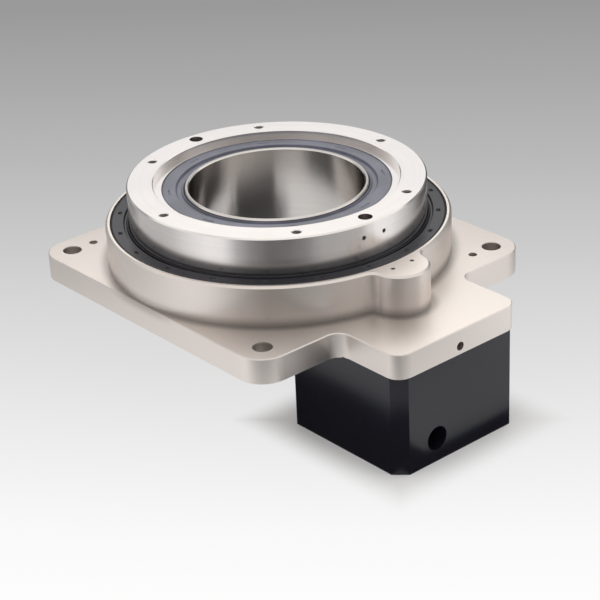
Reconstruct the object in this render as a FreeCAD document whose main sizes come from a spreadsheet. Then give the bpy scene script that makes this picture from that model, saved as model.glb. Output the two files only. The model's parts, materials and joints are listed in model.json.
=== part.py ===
import FreeCAD, Part
import math
import os
import Sketcher

# Hollow rotary platform, 200 mm frame: a table on a crossed-roller bearing, turned through an external
# ring gear by a pinion beside it, with a hollow bore through the middle and a motor adapter underneath.
# Lengths are millimetres.  +Z is the table's axis, z = 0 is the underside of the base plate, the axis
# of the hollow bore passes through the origin, and the motor adapter lies on the +X side.

V = FreeCAD.Vector
UP = V(0, 0, 1)
doc = FreeCAD.newDocument("HollowRotaryPlatform")
sheet = doc.addObject("Spreadsheet::Sheet", "Sizes")
rows = []
nodes = []


# ---------------------------------------------------------------- sizes

class Size:
    """A length or a count: its number now, and the spreadsheet formula that it comes from."""

    def __init__(self, number, formula):
        self.number = number
        self.formula = formula

    def __add__(self, other):
        other = as_size(other)
        return Size(self.number + other.number, "(%s + %s)" % (self.formula, other.formula))

    def __sub__(self, other):
        other = as_size(other)
        return Size(self.number - other.number, "(%s - %s)" % (self.formula, other.formula))

    def __mul__(self, other):
        other = as_size(other)
        return Size(self.number * other.number, "(%s * %s)" % (self.formula, other.formula))

    def __truediv__(self, other):
        other = as_size(other)
        return Size(self.number / other.number, "(%s / %s)" % (self.formula, other.formula))

    def __neg__(self):
        return Size(-self.number, "(0 - %s)" % self.formula)

    def __radd__(self, other):
        return as_size(other) + self

    def __rsub__(self, other):
        return as_size(other) - self

    def __rmul__(self, other):
        return as_size(other) * self


def as_size(value):
    """A plain number as a Size."""
    if isinstance(value, Size):
        return value
    return Size(float(value), repr(float(value)))


def size(alias, number, meaning):
    """Write one driving dimension into the sheet, and hand it back as a Size."""
    rows.append(alias)
    sheet.set("A%d" % len(rows), meaning)
    sheet.set("B%d" % len(rows), str(number))
    sheet.setAlias("B%d" % len(rows), alias)
    return Size(float(number), "Sizes." + alias)


ZERO = as_size(0)

# hollow bore and sleeve
bore_r = size("bore_r", 50, "hollow bore, radius")
sleeve_wall = size("sleeve_wall", 2.5, "sleeve wall")
sleeve_h = size("sleeve_h", 56, "sleeve, plate underside to rim")
sleeve_flange_w = size("sleeve_flange_w", 9.5, "sleeve flange, width outside the tube")
sleeve_flange_t = size("sleeve_flange_t", 4, "sleeve flange, thickness")
sleeve_gap = size("sleeve_gap", 2, "sleeve to the turning bore around it")
sleeve_screws_n = size("sleeve_screws_n", 6, "sleeve screws")

# crossed-roller bearing
race_w = size("race_w", 12, "bearing rings, radial width")
race_gap = size("race_gap", 1, "inner ring to outer ring")
bearing_h = size("bearing_h", 18, "bearing rings, height")
race_edge = size("race_edge", 0.6, "bearing rings, edge chamfer")
roller_r = size("roller_r", 3, "rollers, radius")
roller_play = size("roller_play", 0.08, "roller to raceway")
roller_end_play = size("roller_end_play", 0.1, "roller end to the other raceway flank")
roller_pairs = size("roller_pairs", 18, "pairs of crossed rollers")
cage_t = size("cage_t", 0.5, "roller cage, wall")
cage_h = size("cage_h", 12, "roller cage, height")
cage_play = size("cage_play", 0.35, "roller to its cage window")
race_screws_n = size("race_screws_n", 8, "screws in each bearing ring")
outer_screw_in = size("outer_screw_in", 4, "outer ring's screw circle inside its edge")
inner_screw_in = size("inner_screw_in", 5, "inner ring's screw circle outside its bore")

# gear pair
gear_gap = size("gear_gap", 1, "outer ring to the ring gear's bore")
gear_land = size("gear_land", 10.409, "ring gear, bore to pitch circle")
gear_h = size("gear_h", 10, "ring gear, height")
ring_teeth = size("ring_teeth", 180, "ring gear teeth")
pinion_teeth = size("pinion_teeth", 18, "pinion teeth")
dedendum = size("dedendum", 1.25, "tooth root depth in modules")
backlash = size("backlash", 0.16, "play between the teeth along the pitch circle")
press_angle = size("press_angle", 20, "pressure angle in degrees")
gear_screws_n = size("gear_screws_n", 8, "ring gear screws")
pinion_over = size("pinion_over", 0.4, "pinion face beyond the ring gear, each side")

# base housing
floor_t = size("floor_t", 8, "housing floor")
lift = size("lift", 1, "turning parts above the floor")
cavity_gap = size("cavity_gap", 1.28, "ring gear tip to the housing wall")
housing_wall = size("housing_wall", 5.3, "housing wall round the gear")
housing_edge = size("housing_edge", 1.2, "housing, top edge chamfer")
plate_t = size("plate_t", 14.5, "base plate, thickness")
plate_margin = size("plate_margin", 1.5, "housing wall to the plate's side")
plate_corner_r = size("plate_corner_r", 16, "plate, corner radius")
plate_edge = size("plate_edge", 0.5, "plate, top edge chamfer")
mount_inset = size("mount_inset", 14.5, "mounting hole from both plate sides")
mount_hole_r = size("mount_hole_r", 5.5, "mounting hole, radius")
base_dowel_r = size("base_dowel_r", 2.5, "base dowel hole, radius")
base_dowel_step = size("base_dowel_step", 15, "base dowel hole to its mounting hole")
ear_corner_r = size("ear_corner_r", 9, "motor extension, outer corner radius")
ear_root_r = size("ear_root_r", 8, "motor extension, root radius")
lobe_r = size("lobe_r", 16.5, "pinion housing lobe, radius")
lobe_blend_r = size("lobe_blend_r", 7, "lobe to wall, blend radius")
sensor_tap_x = size("sensor_tap_x", 2, "sensor screw holes outside the pinion axis")
sensor_tap_y = size("sensor_tap_y", 7, "sensor screw holes, half spacing")
chamber_gap = size("chamber_gap", 1.1, "pinion tip to its chamber")

# seals
seal_h = size("seal_h", 9.8, "outer seal, height")
seal_drop = size("seal_drop", 0.2, "outer seal below the housing's top")
seal_wall = size("seal_wall", 2.5, "housing wall round the outer seal")
seal_play = size("seal_play", 0.3, "seal lip to the surface that turns in it")
seal_under = size("seal_under", 0.6, "table flange to the outer seal")
seal_pips_n = size("seal_pips_n", 20, "round dimples in the outer seal")
seal_pip_r = size("seal_pip_r", 1.5, "outer seal dimple, radius")
inner_seal_w = size("inner_seal_w", 12.9, "inner seal, sleeve to pocket wall")
inner_seal_h = size("inner_seal_h", 10, "inner seal, height")

# table
skirt_w = size("skirt_w", 4.5, "table skirt, thickness")
flange_gap = size("flange_gap", 0.45, "table flange inside the ring gear's root circle")
flange_rise = size("flange_rise", 0.4, "table flange's top above the table's seat")
table_h = size("table_h", 32.6, "table, bearing seat to top face")
table_rim_w = size("table_rim_w", 15, "table, raised rim width")
recess_depth = size("recess_depth", 3.9, "table recess, depth")
ledge_drop = size("ledge_drop", 0.1, "inner seal's face below the recess floor")
table_edge = size("table_edge", 0.8, "table, outer edge chamfer")
rim_edge = size("rim_edge", 0.4, "table, recess edge chamfer")
table_tap_in = size("table_tap_in", 7.3, "table hole circle inside its edge")
table_tap_r = size("table_tap_r", 2.5, "table screw hole, tap drill radius (M6)")
table_tap_mouth = size("table_tap_mouth", 0.45, "table screw hole, countersink")
table_tap_depth = size("table_tap_depth", 12, "table screw and dowel holes, depth")
table_taps_n = size("table_taps_n", 6, "table screw holes")
table_dowel_r = size("table_dowel_r", 4, "table dowel hole, radius")
table_turn = size("table_turn", -2.7, "table's angle where it stands, degrees")
flag_tap_y = size("flag_tap_y", 7, "sensor flag holes in the table's side, half spacing")
flag_tap_down = size("flag_tap_down", 8, "sensor flag holes below the table's top")
small_tap_r = size("small_tap_r", 1.25, "sensor screw holes, tap drill radius (M3)")
small_tap_depth = size("small_tap_depth", 7, "sensor screw holes, depth")

# screws
m4_r = size("m4_r", 2, "M4 shank radius")
m4_core = size("m4_core", 1.65, "M4 tap drill radius")
m4_head_r = size("m4_head_r", 3.5, "M4 head radius")
m4_head_h = size("m4_head_h", 4, "M4 head height")
m4_key = size("m4_key", 1.5, "M4 key, half across flats")
m5_r = size("m5_r", 2.5, "M5 shank radius")
m5_core = size("m5_core", 2.1, "M5 tap drill radius")
m5_head_r = size("m5_head_r", 4.25, "M5 head radius")
m5_head_h = size("m5_head_h", 5, "M5 head height")
m5_key = size("m5_key", 2, "M5 key, half across flats")
m6_core = size("m6_core", 2.5, "M6 tap drill radius")
head_play = size("head_play", 0.2, "counterbore outside a screw head")
shank_play = size("shank_play", 0.2, "clearance hole outside a shank")
thread_play = size("thread_play", 0.03, "tapped hole outside a thread")
seat_fit = size("seat_fit", 0.02, "locating fit, radial")
tip_room = size("tip_room", 1, "tapped hole beyond a screw's tip")
long_screw = size("long_screw", 20, "bearing ring screws, length under the head")
gear_screw = size("gear_screw", 12, "ring gear screws, length under the head")
sleeve_screw = size("sleeve_screw", 6, "sleeve screws, length")

# motor adapter
adapter_half = size("adapter_half", 45, "motor adapter, half side")
adapter_h = size("adapter_h", 58, "motor adapter, height")
adapter_edge = size("adapter_edge", 7, "motor adapter, corner chamfer")
spigot_r = size("spigot_r", 22, "adapter spigot, radius")
spigot_h = size("spigot_h", 6, "adapter spigot, height")
lip_w = size("lip_w", 2.5, "lip over the shaft bearing, width")
adapter_bore_r = size("adapter_bore_r", 30, "coupling space, radius")
pilot_r = size("pilot_r", 35, "motor pilot recess, radius")
pilot_depth = size("pilot_depth", 5, "motor pilot recess, depth")
motor_bolts_r = size("motor_bolts_r", 45, "motor bolt circle, radius")
motor_bolt_depth = size("motor_bolt_depth", 16, "motor bolt holes, depth")
adapter_screw_end = size("adapter_screw_end", 25, "adapter screws inside the block's ends")
adapter_screw_in = size("adapter_screw_in", 6.5, "adapter screws inside the block's side")
adapter_screw = size("adapter_screw", 20, "adapter screws, length under the head")
adapter_tap_depth = size("adapter_tap_depth", 7, "adapter screw holes in the plate, depth")
motor_groove_off = size("motor_groove_off", 0.5, "groove round the adapter's seat, off the block's side")
motor_groove_w = size("motor_groove_w", 1, "groove round the adapter's seat, width")
motor_groove_t = size("motor_groove_t", 0.5, "groove round the adapter's seat, depth")
access_r = size("access_r", 7, "clamp screw access hole, radius")
lock_z = size("lock_z", 4.7, "spigot set screw above the plate's underside")
lock_len = size("lock_len", 16, "spigot set screw, length")
lock_key = size("lock_key", 1.5, "set screw key, half across flats")

# pinion shaft and its bearings
shaft_r = size("shaft_r", 12.5, "pinion shaft, radius (bearing 25 x 37 x 7)")
brg_w = size("brg_w", 6, "shaft bearing, radial width")
brg_h = size("brg_h", 7, "shaft bearing, width")
brg_ring_t = size("brg_ring_t", 1.6, "shaft bearing rings, outer ring thickness")
brg_inner_t = size("brg_inner_t", 2.1, "shaft bearing rings, inner ring thickness")
shield_t = size("shield_t", 0.5, "bearing shield, thickness")
shield_play = size("shield_play", 0.3, "bearing shield to the inner ring")
spacer_h = size("spacer_h", 6, "spacer between the shaft bearings")
clip_t = size("clip_t", 1.3, "retaining rings, thickness")
clip_deep = size("clip_deep", 0.6, "retaining ring grooves, depth")
clip_room = size("clip_room", 0.1, "retaining ring in its groove")
clip_w = size("clip_w", 2.2, "retaining rings, radial width")
collar_shoulder_w = size("collar_shoulder_w", 1.5, "shaft shoulder above the bearings, rise from the shaft")
collar_shoulder_h = size("collar_shoulder_h", 2, "shaft shoulder, height")
neck_r = size("neck_r", 7.6, "shaft below the pinion, radius")
nose_r = size("nose_r", 4, "shaft nose, radius (bearing 8 x 16 x 5)")
nose_brg_r = size("nose_brg_r", 8, "nose bearing, outer radius")
nose_brg_h = size("nose_brg_h", 5, "nose bearing, width")
nose_ring_t = size("nose_ring_t", 1.1, "nose bearing, ring thickness")
nose_step = size("nose_step", 1.1, "shaft shoulder under the nose bearing")
socket_r = size("socket_r", 9.5, "motor shaft socket, radius")
socket_top = size("socket_top", 22, "motor shaft socket's end below the plate")
shaft_low = size("shaft_low", 51.5, "pinion shaft's end below the plate")
slot_w = size("slot_w", 1.2, "clamping slots, width")
slot_top = size("slot_top", 35, "clamping slots' end below the plate")
clamp_wall = size("clamp_wall", 11.5, "clamp collar, wall")
clamp_h = size("clamp_h", 13, "clamp collar, height")
clamp_z = size("clamp_z", 44, "clamp collar's middle below the plate")
clamp_screw_off = size("clamp_screw_off", 5.2, "clamp screw beside the shaft's side")
clamp_screw = size("clamp_screw", 16, "clamp screw, length under the head")
clamp_seat = size("clamp_seat", 7.5, "clamp screw's seat beside the slit")

# ---------------------------------------------------------------- places worked out from the sizes

sleeve_r = bore_r + sleeve_wall
sleeve_flange_r = sleeve_r + sleeve_flange_w
sleeve_screw_r = sleeve_r + sleeve_flange_w / 2
turning_bore_r = sleeve_r + sleeve_gap
inner_race_r = turning_bore_r + race_w
outer_race_bore_r = inner_race_r + race_gap
outer_race_r = outer_race_bore_r + race_w
roller_circle_r = inner_race_r + race_gap / 2
gear_bore_r = outer_race_r + gear_gap
gear_pitch_r = gear_bore_r + gear_land
module = gear_pitch_r * 2 / ring_teeth
pinion_pitch_r = gear_pitch_r * pinion_teeth / ring_teeth
centre = gear_pitch_r + pinion_pitch_r
gear_root_r = gear_pitch_r - module * dedendum
gear_tip_r = gear_pitch_r + module
pinion_tip_r = pinion_pitch_r + module
pinion_root_r = pinion_pitch_r - module * dedendum
cavity_r = gear_tip_r + cavity_gap
housing_r = cavity_r + housing_wall
plate_half = housing_r + plate_margin
reach = centre + adapter_half
table_r = gear_bore_r + skirt_w
flange_r = gear_root_r - flange_gap
gear_screw_r = (gear_bore_r + flange_r) / 2

turning_z = floor_t + lift
gear_top_z = turning_z + gear_h
table_seat_z = turning_z + bearing_h
flange_top_z = table_seat_z + flange_rise
seal_z = flange_top_z + seal_under
housing_h = seal_z + seal_h + seal_drop
roller_z = floor_t + (bearing_h + lift) / 2
table_top_z = table_seat_z + table_h
recess_z = table_top_z - recess_depth
recess_r = table_r - table_rim_w
pocket_r = sleeve_r + inner_seal_w
pocket_z = recess_z - ledge_drop - inner_seal_h
table_tap_circle_r = table_r - table_tap_in
chamber_r = pinion_tip_r + chamber_gap
pinion_z = turning_z - pinion_over
pinion_h = gear_h + pinion_over * 2
nose_z = pinion_z + pinion_h + nose_step
seal_pip_circle_r = (table_r + seal_play + housing_r - seal_wall) / 2 + 0.4
groove_reach = (roller_r + roller_play) * math.sqrt(2)
brg_low_z = -(brg_h * 2 + spacer_h)
brg_r = shaft_r + brg_w
lip_r = brg_r - lip_w
collar_shoulder_r = shaft_r + collar_shoulder_w
clamp_r = shaft_r + clamp_wall
clamp_screw_y = shaft_r + clamp_screw_off
adapter_screw_x = adapter_half - adapter_screw_end


# ---------------------------------------------------------------- how the pieces are made

def bind(thing, place, value):
    """Tie a property to the formula of a size."""
    thing.setExpression(place, as_size(value).formula)


def new_body(label):
    """An empty body, which becomes the node of that name."""
    body = doc.addObject("PartDesign::Body", label)
    body.Label = label
    nodes.append(body)
    return body


def origin_part(body, role):
    """One of the planes or axes of a body's own origin."""
    for part in body.Origin.OriginFeatures:
        if part.Role == role:
            return part
    raise ValueError(role)


def sketch_on(body, role, name, offset=ZERO):
    """A sketch on an origin plane of the body, moved along the plane's normal."""
    sketch = body.newObject("Sketcher::SketchObject", name)
    sketch.AttachmentSupport = (origin_part(body, role), [""])
    sketch.MapMode = "FlatFace"
    bind(sketch, "AttachmentOffset.Base.z", offset)
    return sketch


def hold(sketch, index, point, x, y):
    """Fix a point of the sketch by its two distances from the sketch's origin."""
    for kind, value in (("DistanceX", x), ("DistanceY", y)):
        value = as_size(value)
        number = sketch.addConstraint(Sketcher.Constraint(kind, -1, 1, index, point, value.number))
        sketch.setExpression("Constraints[%d]" % number, value.formula)


def polygon(sketch, corners):
    """A closed outline of straight lines through the corners."""
    first = sketch.GeometryCount
    count = len(corners)
    places = [V(as_size(x).number, as_size(y).number, 0) for x, y in corners]
    for i in range(count):
        sketch.addGeometry(Part.LineSegment(places[i], places[(i + 1) % count]), False)
    for i in range(count):
        sketch.addConstraint(Sketcher.Constraint("Coincident", first + i, 2, first + (i + 1) % count, 1))
    for i, (x, y) in enumerate(corners):
        hold(sketch, first + i, 1, x, y)


def circle(sketch, x, y, radius):
    """A circle held by its centre and radius."""
    x, y, radius = as_size(x), as_size(y), as_size(radius)
    ring = Part.Circle(V(x.number, y.number, 0), UP, radius.number)
    index = sketch.addGeometry(ring, False)
    hold(sketch, index, 3, x, y)
    number = sketch.addConstraint(Sketcher.Constraint("Radius", index, radius.number))
    sketch.setExpression("Constraints[%d]" % number, radius.formula)


def pad(body, sketch, length, name):
    """Material from the sketch upwards along its normal."""
    feature = body.newObject("PartDesign::Pad", name)
    feature.Profile = sketch
    bind(feature, "Length", length)
    return feature


def pocket(body, sketch, depth, name, upward=False):
    """A cut from the sketch: against its normal, or along it where upward is set."""
    feature = body.newObject("PartDesign::Pocket", name)
    feature.Profile = sketch
    feature.Reversed = upward
    bind(feature, "Length", depth)
    return feature


def turned(label, corners):
    """A body turned about its own Z axis from an outline of (radius, height) corners."""
    body = new_body(label)
    sketch = sketch_on(body, "XZ_Plane", label + "_outline")
    polygon(sketch, corners)
    feature = body.newObject("PartDesign::Revolution", label + "_turned")
    feature.Profile = sketch
    feature.ReferenceAxis = (sketch, ["V_Axis"])
    feature.Angle = 360
    return body


def turned_cut(body, corners, name):
    """A cut turned about the body's Z axis."""
    sketch = sketch_on(body, "XZ_Plane", name + "_outline")
    polygon(sketch, corners)
    feature = body.newObject("PartDesign::Groove", name)
    feature.Profile = sketch
    feature.ReferenceAxis = (sketch, ["V_Axis"])
    feature.Angle = 360
    return feature


def around(body, features, count, name):
    """The features repeated all round the body's Z axis."""
    pattern = body.newObject("PartDesign::PolarPattern", name)
    pattern.Originals = features
    pattern.Axis = (origin_part(body, "Z_Axis"), [""])
    pattern.Angle = 360
    bind(pattern, "Occurrences", count)
    body.Tip = pattern
    return pattern


def edge_names(feature, wanted):
    """Names of the feature's edges whose middle point is wanted."""
    doc.recompute()
    names = []
    for i, edge in enumerate(feature.Shape.Edges):
        middle = edge.valueAt((edge.FirstParameter + edge.LastParameter) / 2)
        if wanted(edge, middle):
            names.append("Edge%d" % (i + 1))
    if not names:
        raise ValueError("no edge for " + feature.Label)
    return names


def dress(body, kind, feature, wanted, amount, name):
    """A Fillet or Chamfer on the wanted edges of a feature."""
    made = body.newObject("PartDesign::" + kind, name)
    made.Base = (feature, edge_names(feature, wanted))
    if kind == "Fillet":
        bind(made, "Radius", amount)
    else:
        bind(made, "Size", amount)
    body.Tip = made
    return made


def ring_shape(inner, outer, low, high):
    """A plain ring between two radii and two heights."""
    big = Part.makeCylinder(outer.number, (high - low).number, V(0, 0, low.number))
    hole = Part.makeCylinder(inner.number, (high - low).number, V(0, 0, low.number))
    return big.cut(hole)


def feature_node(label, shape):
    """A node whose shape is set directly."""
    feature = doc.addObject("Part::Feature", label)
    feature.Label = label
    feature.Shape = shape
    nodes.append(feature)
    return feature


def hex_prism(half_flats, low, high):
    """A hexagonal socket's volume about the Z axis."""
    corner = half_flats / math.cos(math.pi / 6)
    points = []
    for i in range(7):
        points.append(V(corner * math.cos(i * math.pi / 3), corner * math.sin(i * math.pi / 3), low))
    return Part.Face(Part.makePolygon(points)).extrude(V(0, 0, high - low))


def screw_shape(outline, key, key_depth, head_low):
    """A screw along +Z, turned from its outline and with a hexagon socket in the end at head_low."""
    points = [V(r, 0, z) for r, z in outline]
    points.append(points[0])
    solid = Part.Face(Part.makePolygon(points)).revolve(V(0, 0, 0), UP, 360)
    return solid.cut(hex_prism(key, head_low, head_low + key_depth))


def cap_screw(shank_r, core_r, head_r, head_h, key, grip, length):
    """Socket cap screw with its head's seat at z = 0, plain for the grip and then threaded."""
    outline = [
        (0, -head_h.number),
        (head_r.number, -head_h.number),
        (head_r.number, 0),
        (shank_r.number, 0),
        (shank_r.number, grip.number),
        (core_r.number - thread_play.number, grip.number),
        (core_r.number - thread_play.number, length.number),
        (0, length.number),
    ]
    return screw_shape(outline, key.number, head_h.number / 2, -head_h.number)


def placed(shape, spots):
    """One compound of the shape, copied to every spot."""
    copies = []
    for spot in spots:
        copy = shape.copy()
        copy.translate(V(spot[0], spot[1], spot[2]))
        copies.append(copy)
    return Part.makeCompound(copies)


def circle_spots(count, radius, z, first=0.0):
    """Places spaced evenly round the Z axis, the first one at an angle in degrees."""
    spots = []
    for i in range(int(round(count.number))):
        angle = math.radians(first + i * 360 / count.number)
        spots.append((radius.number * math.cos(angle), radius.number * math.sin(angle), z.number))
    return spots


def polar(radius, degrees):
    """The x and y of a point on a circle about the Z axis."""
    angle = math.radians(degrees)
    return radius * math.cos(angle), radius * math.sin(angle)


# ---------------------------------------------------------------- teeth

def involute_angle(base_r, radius):
    """Angle by which the involute from base_r has swung when it reaches a radius."""
    if radius <= base_r:
        return 0.0
    roll = math.sqrt((radius / base_r) ** 2 - 1)
    return roll - math.atan(roll)


def tooth_ring(teeth, pitch_r, tip_r, root_r, first):
    """Outline of an external gear: involute flanks as arcs, joined by tip and root arcs.

    The flank leaves the base circle (or the root circle, if that is larger), passes the pitch circle
    where half the tooth spans a quarter of the pitch less a quarter of the backlash, and ends at
    the tip.  first is the angle of the first tooth's middle.
    """
    count = int(round(teeth))
    base_r = pitch_r * math.cos(math.radians(press_angle.number))
    half = math.pi / (2 * count) - backlash.number / (4 * pitch_r)
    at_pitch = half + involute_angle(base_r, pitch_r)
    start_r = max(base_r, root_r)
    radii = [start_r, (start_r + tip_r) / 2, tip_r]
    edges = []

    def at(radius, angle):
        return V(radius * math.cos(angle), radius * math.sin(angle), 0)

    for i in range(count):
        middle = first + i * 2 * math.pi / count
        after = middle + 2 * math.pi / count
        rise = [at(r, middle - at_pitch + involute_angle(base_r, r)) for r in radii]
        fall = [at(r, middle + at_pitch - involute_angle(base_r, r)) for r in reversed(radii)]
        low_here = middle + at_pitch - involute_angle(base_r, start_r)
        low_next = after - at_pitch + involute_angle(base_r, start_r)
        if root_r < base_r:
            edges.append(Part.makeLine(at(root_r, middle - at_pitch), rise[0]))
        edges.append(Part.Arc(rise[0], rise[1], rise[2]).toShape())
        edges.append(Part.Arc(rise[2], at(tip_r, middle), fall[0]).toShape())
        edges.append(Part.Arc(fall[0], fall[1], fall[2]).toShape())
        if root_r < base_r:
            edges.append(Part.makeLine(fall[2], at(root_r, low_here)))
        root_mid = (low_here + low_next) / 2
        edges.append(Part.Arc(at(root_r, low_here), at(root_r, root_mid), at(root_r, low_next)).toShape())
    return Part.Wire(edges)


# ---------------------------------------------------------------- base housing

def base_housing():
    """Square base plate with the motor extension, the round wall, and the lobe over the pinion."""
    body = new_body("base_housing")
    sketch = sketch_on(body, "XY_Plane", "plate_outline")
    polygon(sketch, [
        (-plate_half, -plate_half),
        (plate_half, -plate_half),
        (plate_half, -adapter_half),
        (reach, -adapter_half),
        (reach, adapter_half),
        (plate_half, adapter_half),
        (plate_half, plate_half),
        (-plate_half, plate_half),
    ])
    last = pad(body, sketch, plate_t, "plate")

    def plate_corner(edge, middle):
        for x in (-plate_half.number, plate_half.number):
            for y in (-plate_half.number, plate_half.number):
                if abs(middle.x - x) < 0.01 and abs(middle.y - y) < 0.01:
                    return True
        return False

    def ear_corner(edge, middle):
        return abs(middle.x - reach.number) < 0.01 and abs(abs(middle.y) - adapter_half.number) < 0.01

    def ear_root(edge, middle):
        at_side = abs(middle.x - plate_half.number) < 0.01
        return at_side and abs(abs(middle.y) - adapter_half.number) < 0.01

    last = dress(body, "Fillet", last, plate_corner, plate_corner_r, "plate_corners")
    last = dress(body, "Fillet", last, ear_corner, ear_corner_r, "ear_corners")
    last = dress(body, "Fillet", last, ear_root, ear_root_r, "ear_roots")

    def plate_rim(edge, middle):
        return abs(middle.z - plate_t.number) < 0.01

    last = dress(body, "Chamfer", last, plate_rim, plate_edge, "plate_top_edge")

    sketch = sketch_on(body, "XY_Plane", "wall_outline")
    circle(sketch, 0, 0, housing_r)
    pad(body, sketch, housing_h, "wall")
    sketch = sketch_on(body, "XY_Plane", "lobe_outline")
    circle(sketch, centre, 0, lobe_r)
    last = pad(body, sketch, housing_h, "lobe")

    def lobe_joint(edge, middle):
        straight = abs(edge.tangentAt(edge.FirstParameter).z) > 0.99
        on_wall = abs(math.hypot(middle.x, middle.y) - housing_r.number) < 0.02
        return straight and on_wall and middle.z > plate_t.number and middle.x > 0

    last = dress(body, "Fillet", last, lobe_joint, lobe_blend_r, "lobe_blends")

    def wall_top(edge, middle):
        return abs(middle.z - housing_h.number) < 0.01

    dress(body, "Chamfer", last, wall_top, housing_edge, "wall_top_edge")

    sleeve_hole_r = sleeve_r + seat_fit
    seal_hole_r = housing_r - seal_wall
    turned_cut(body, [
        (ZERO, ZERO),
        (sleeve_flange_r + head_play, ZERO),
        (sleeve_flange_r + head_play, sleeve_flange_t),
        (sleeve_hole_r, sleeve_flange_t),
        (sleeve_hole_r, floor_t),
        (cavity_r, floor_t),
        (cavity_r, seal_z),
        (seal_hole_r, seal_z),
        (seal_hole_r, housing_h),
        (ZERO, housing_h),
    ], "hollow_inside")

    sketch = sketch_on(body, "XY_Plane", "spigot_hole_outline")
    circle(sketch, centre, 0, spigot_r + seat_fit)
    pocket(body, sketch, floor_t, "spigot_hole", upward=True)
    sketch = sketch_on(body, "XY_Plane", "chamber_outline", floor_t)
    circle(sketch, centre, 0, chamber_r)
    pocket(body, sketch, nose_z - floor_t, "pinion_chamber", upward=True)
    sketch = sketch_on(body, "XY_Plane", "nose_seat_outline", nose_z)
    circle(sketch, centre, 0, nose_brg_r + seat_fit)
    pocket(body, sketch, nose_brg_h, "nose_bearing_seat", upward=True)
    sketch = sketch_on(body, "XY_Plane", "nose_relief_outline", nose_z + nose_brg_h)
    circle(sketch, centre, 0, nose_brg_r - nose_ring_t * 2)
    pocket(body, sketch, nose_step + 0.4, "nose_relief", upward=True)

    inner = adapter_half + motor_groove_off
    outer = inner + motor_groove_w
    sketch = sketch_on(body, "XY_Plane", "motor_groove_outline")
    polygon(sketch, [
        (centre - outer, -outer),
        (reach, -outer),
        (reach, -inner),
        (centre - inner, -inner),
        (centre - inner, inner),
        (reach, inner),
        (reach, outer),
        (centre - outer, outer),
    ])
    pocket(body, sketch, motor_groove_t, "motor_groove", upward=True)

    far = plate_half - mount_inset
    sketch = sketch_on(body, "XY_Plane", "mount_holes_outline", plate_t)
    for x in (-far, far):
        for y in (-far, far):
            circle(sketch, x, y, mount_hole_r)
    pocket(body, sketch, plate_t, "mount_holes")
    sketch = sketch_on(body, "XY_Plane", "base_dowels_outline", plate_t)
    circle(sketch, far, far - base_dowel_step, base_dowel_r)
    circle(sketch, -far, base_dowel_step - far, base_dowel_r)
    pocket(body, sketch, plate_t, "base_dowel_holes")

    half_step = 180 / race_screws_n.number
    x, y = polar(outer_race_r - outer_screw_in, half_step)
    sketch = sketch_on(body, "XY_Plane", "race_screw_holes_outline")
    circle(sketch, x, y, m4_r + shank_play)
    hole = pocket(body, sketch, floor_t, "race_screw_hole", upward=True)
    sketch = sketch_on(body, "XY_Plane", "race_screw_heads_outline")
    circle(sketch, x, y, m4_head_r + head_play)
    head = pocket(body, sketch, m4_head_h + head_play, "race_screw_head", upward=True)
    around(body, [hole, head], race_screws_n, "race_screw_holes")

    sketch = sketch_on(body, "XY_Plane", "sleeve_taps_outline", sleeve_flange_t)
    circle(sketch, sleeve_screw_r, 0, m4_core)
    tap = pocket(body, sketch, sleeve_screw - sleeve_flange_t + tip_room, "sleeve_tap", upward=True)
    around(body, [tap], sleeve_screws_n, "sleeve_taps")

    sketch = sketch_on(body, "XY_Plane", "adapter_taps_outline")
    for x in (centre - adapter_screw_x, centre + adapter_screw_x):
        for y in (adapter_screw_in - adapter_half, adapter_half - adapter_screw_in):
            circle(sketch, x, y, m5_core)
    pocket(body, sketch, adapter_tap_depth, "adapter_taps", upward=True)

    sketch = sketch_on(body, "YZ_Plane", "lock_tap_outline", reach)
    circle(sketch, 0, lock_z, m6_core)
    pocket(body, sketch, adapter_half - spigot_r + seat_fit + 0.2, "lock_tap")
    sketch = sketch_on(body, "XY_Plane", "sensor_taps_outline", housing_h)
    circle(sketch, centre + sensor_tap_x, -sensor_tap_y, small_tap_r)
    circle(sketch, centre + sensor_tap_x, sensor_tap_y, small_tap_r)
    body.Tip = pocket(body, sketch, small_tap_depth, "sensor_taps")


# ---------------------------------------------------------------- hollow sleeve

def hollow_sleeve():
    """Thin tube through the table, with a countersunk flange let into the plate from below."""
    rim = sleeve_wall / 4
    body = turned("hollow_sleeve", [
        (bore_r, ZERO),
        (sleeve_flange_r, ZERO),
        (sleeve_flange_r, sleeve_flange_t),
        (sleeve_r, sleeve_flange_t),
        (sleeve_r, sleeve_h - rim),
        (sleeve_r - rim, sleeve_h),
        (bore_r + rim, sleeve_h),
        (bore_r, sleeve_h - rim),
    ])
    sketch = sketch_on(body, "XY_Plane", "sleeve_hole_outline")
    circle(sketch, sleeve_screw_r, 0, m4_r + shank_play)
    hole = pocket(body, sketch, sleeve_flange_t, "sleeve_hole", upward=True)
    sketch = sketch_on(body, "XY_Plane", "sleeve_head_outline")
    circle(sketch, sleeve_screw_r, 0, m4_r * 2 + head_play)
    sink = pocket(body, sketch, m4_r, "sleeve_head", upward=True)
    sink.TaperAngle = -45
    around(body, [hole, sink], sleeve_screws_n, "sleeve_holes")

    core = m4_core.number - thread_play.number
    sunk = 0.1
    outline = [
        (0, sunk),
        (m4_r.number * 2 - sunk, sunk),
        (m4_r.number, m4_r.number),
        (m4_r.number, sleeve_flange_t.number),
        (core, sleeve_flange_t.number),
        (core, sleeve_screw.number),
        (0, sleeve_screw.number),
    ]
    screw = screw_shape(outline, m4_key.number * 0.8, m4_r.number * 0.8, sunk)
    feature_node("sleeve_screws", placed(screw, circle_spots(sleeve_screws_n, sleeve_screw_r, ZERO)))


# ---------------------------------------------------------------- crossed-roller bearing

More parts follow.
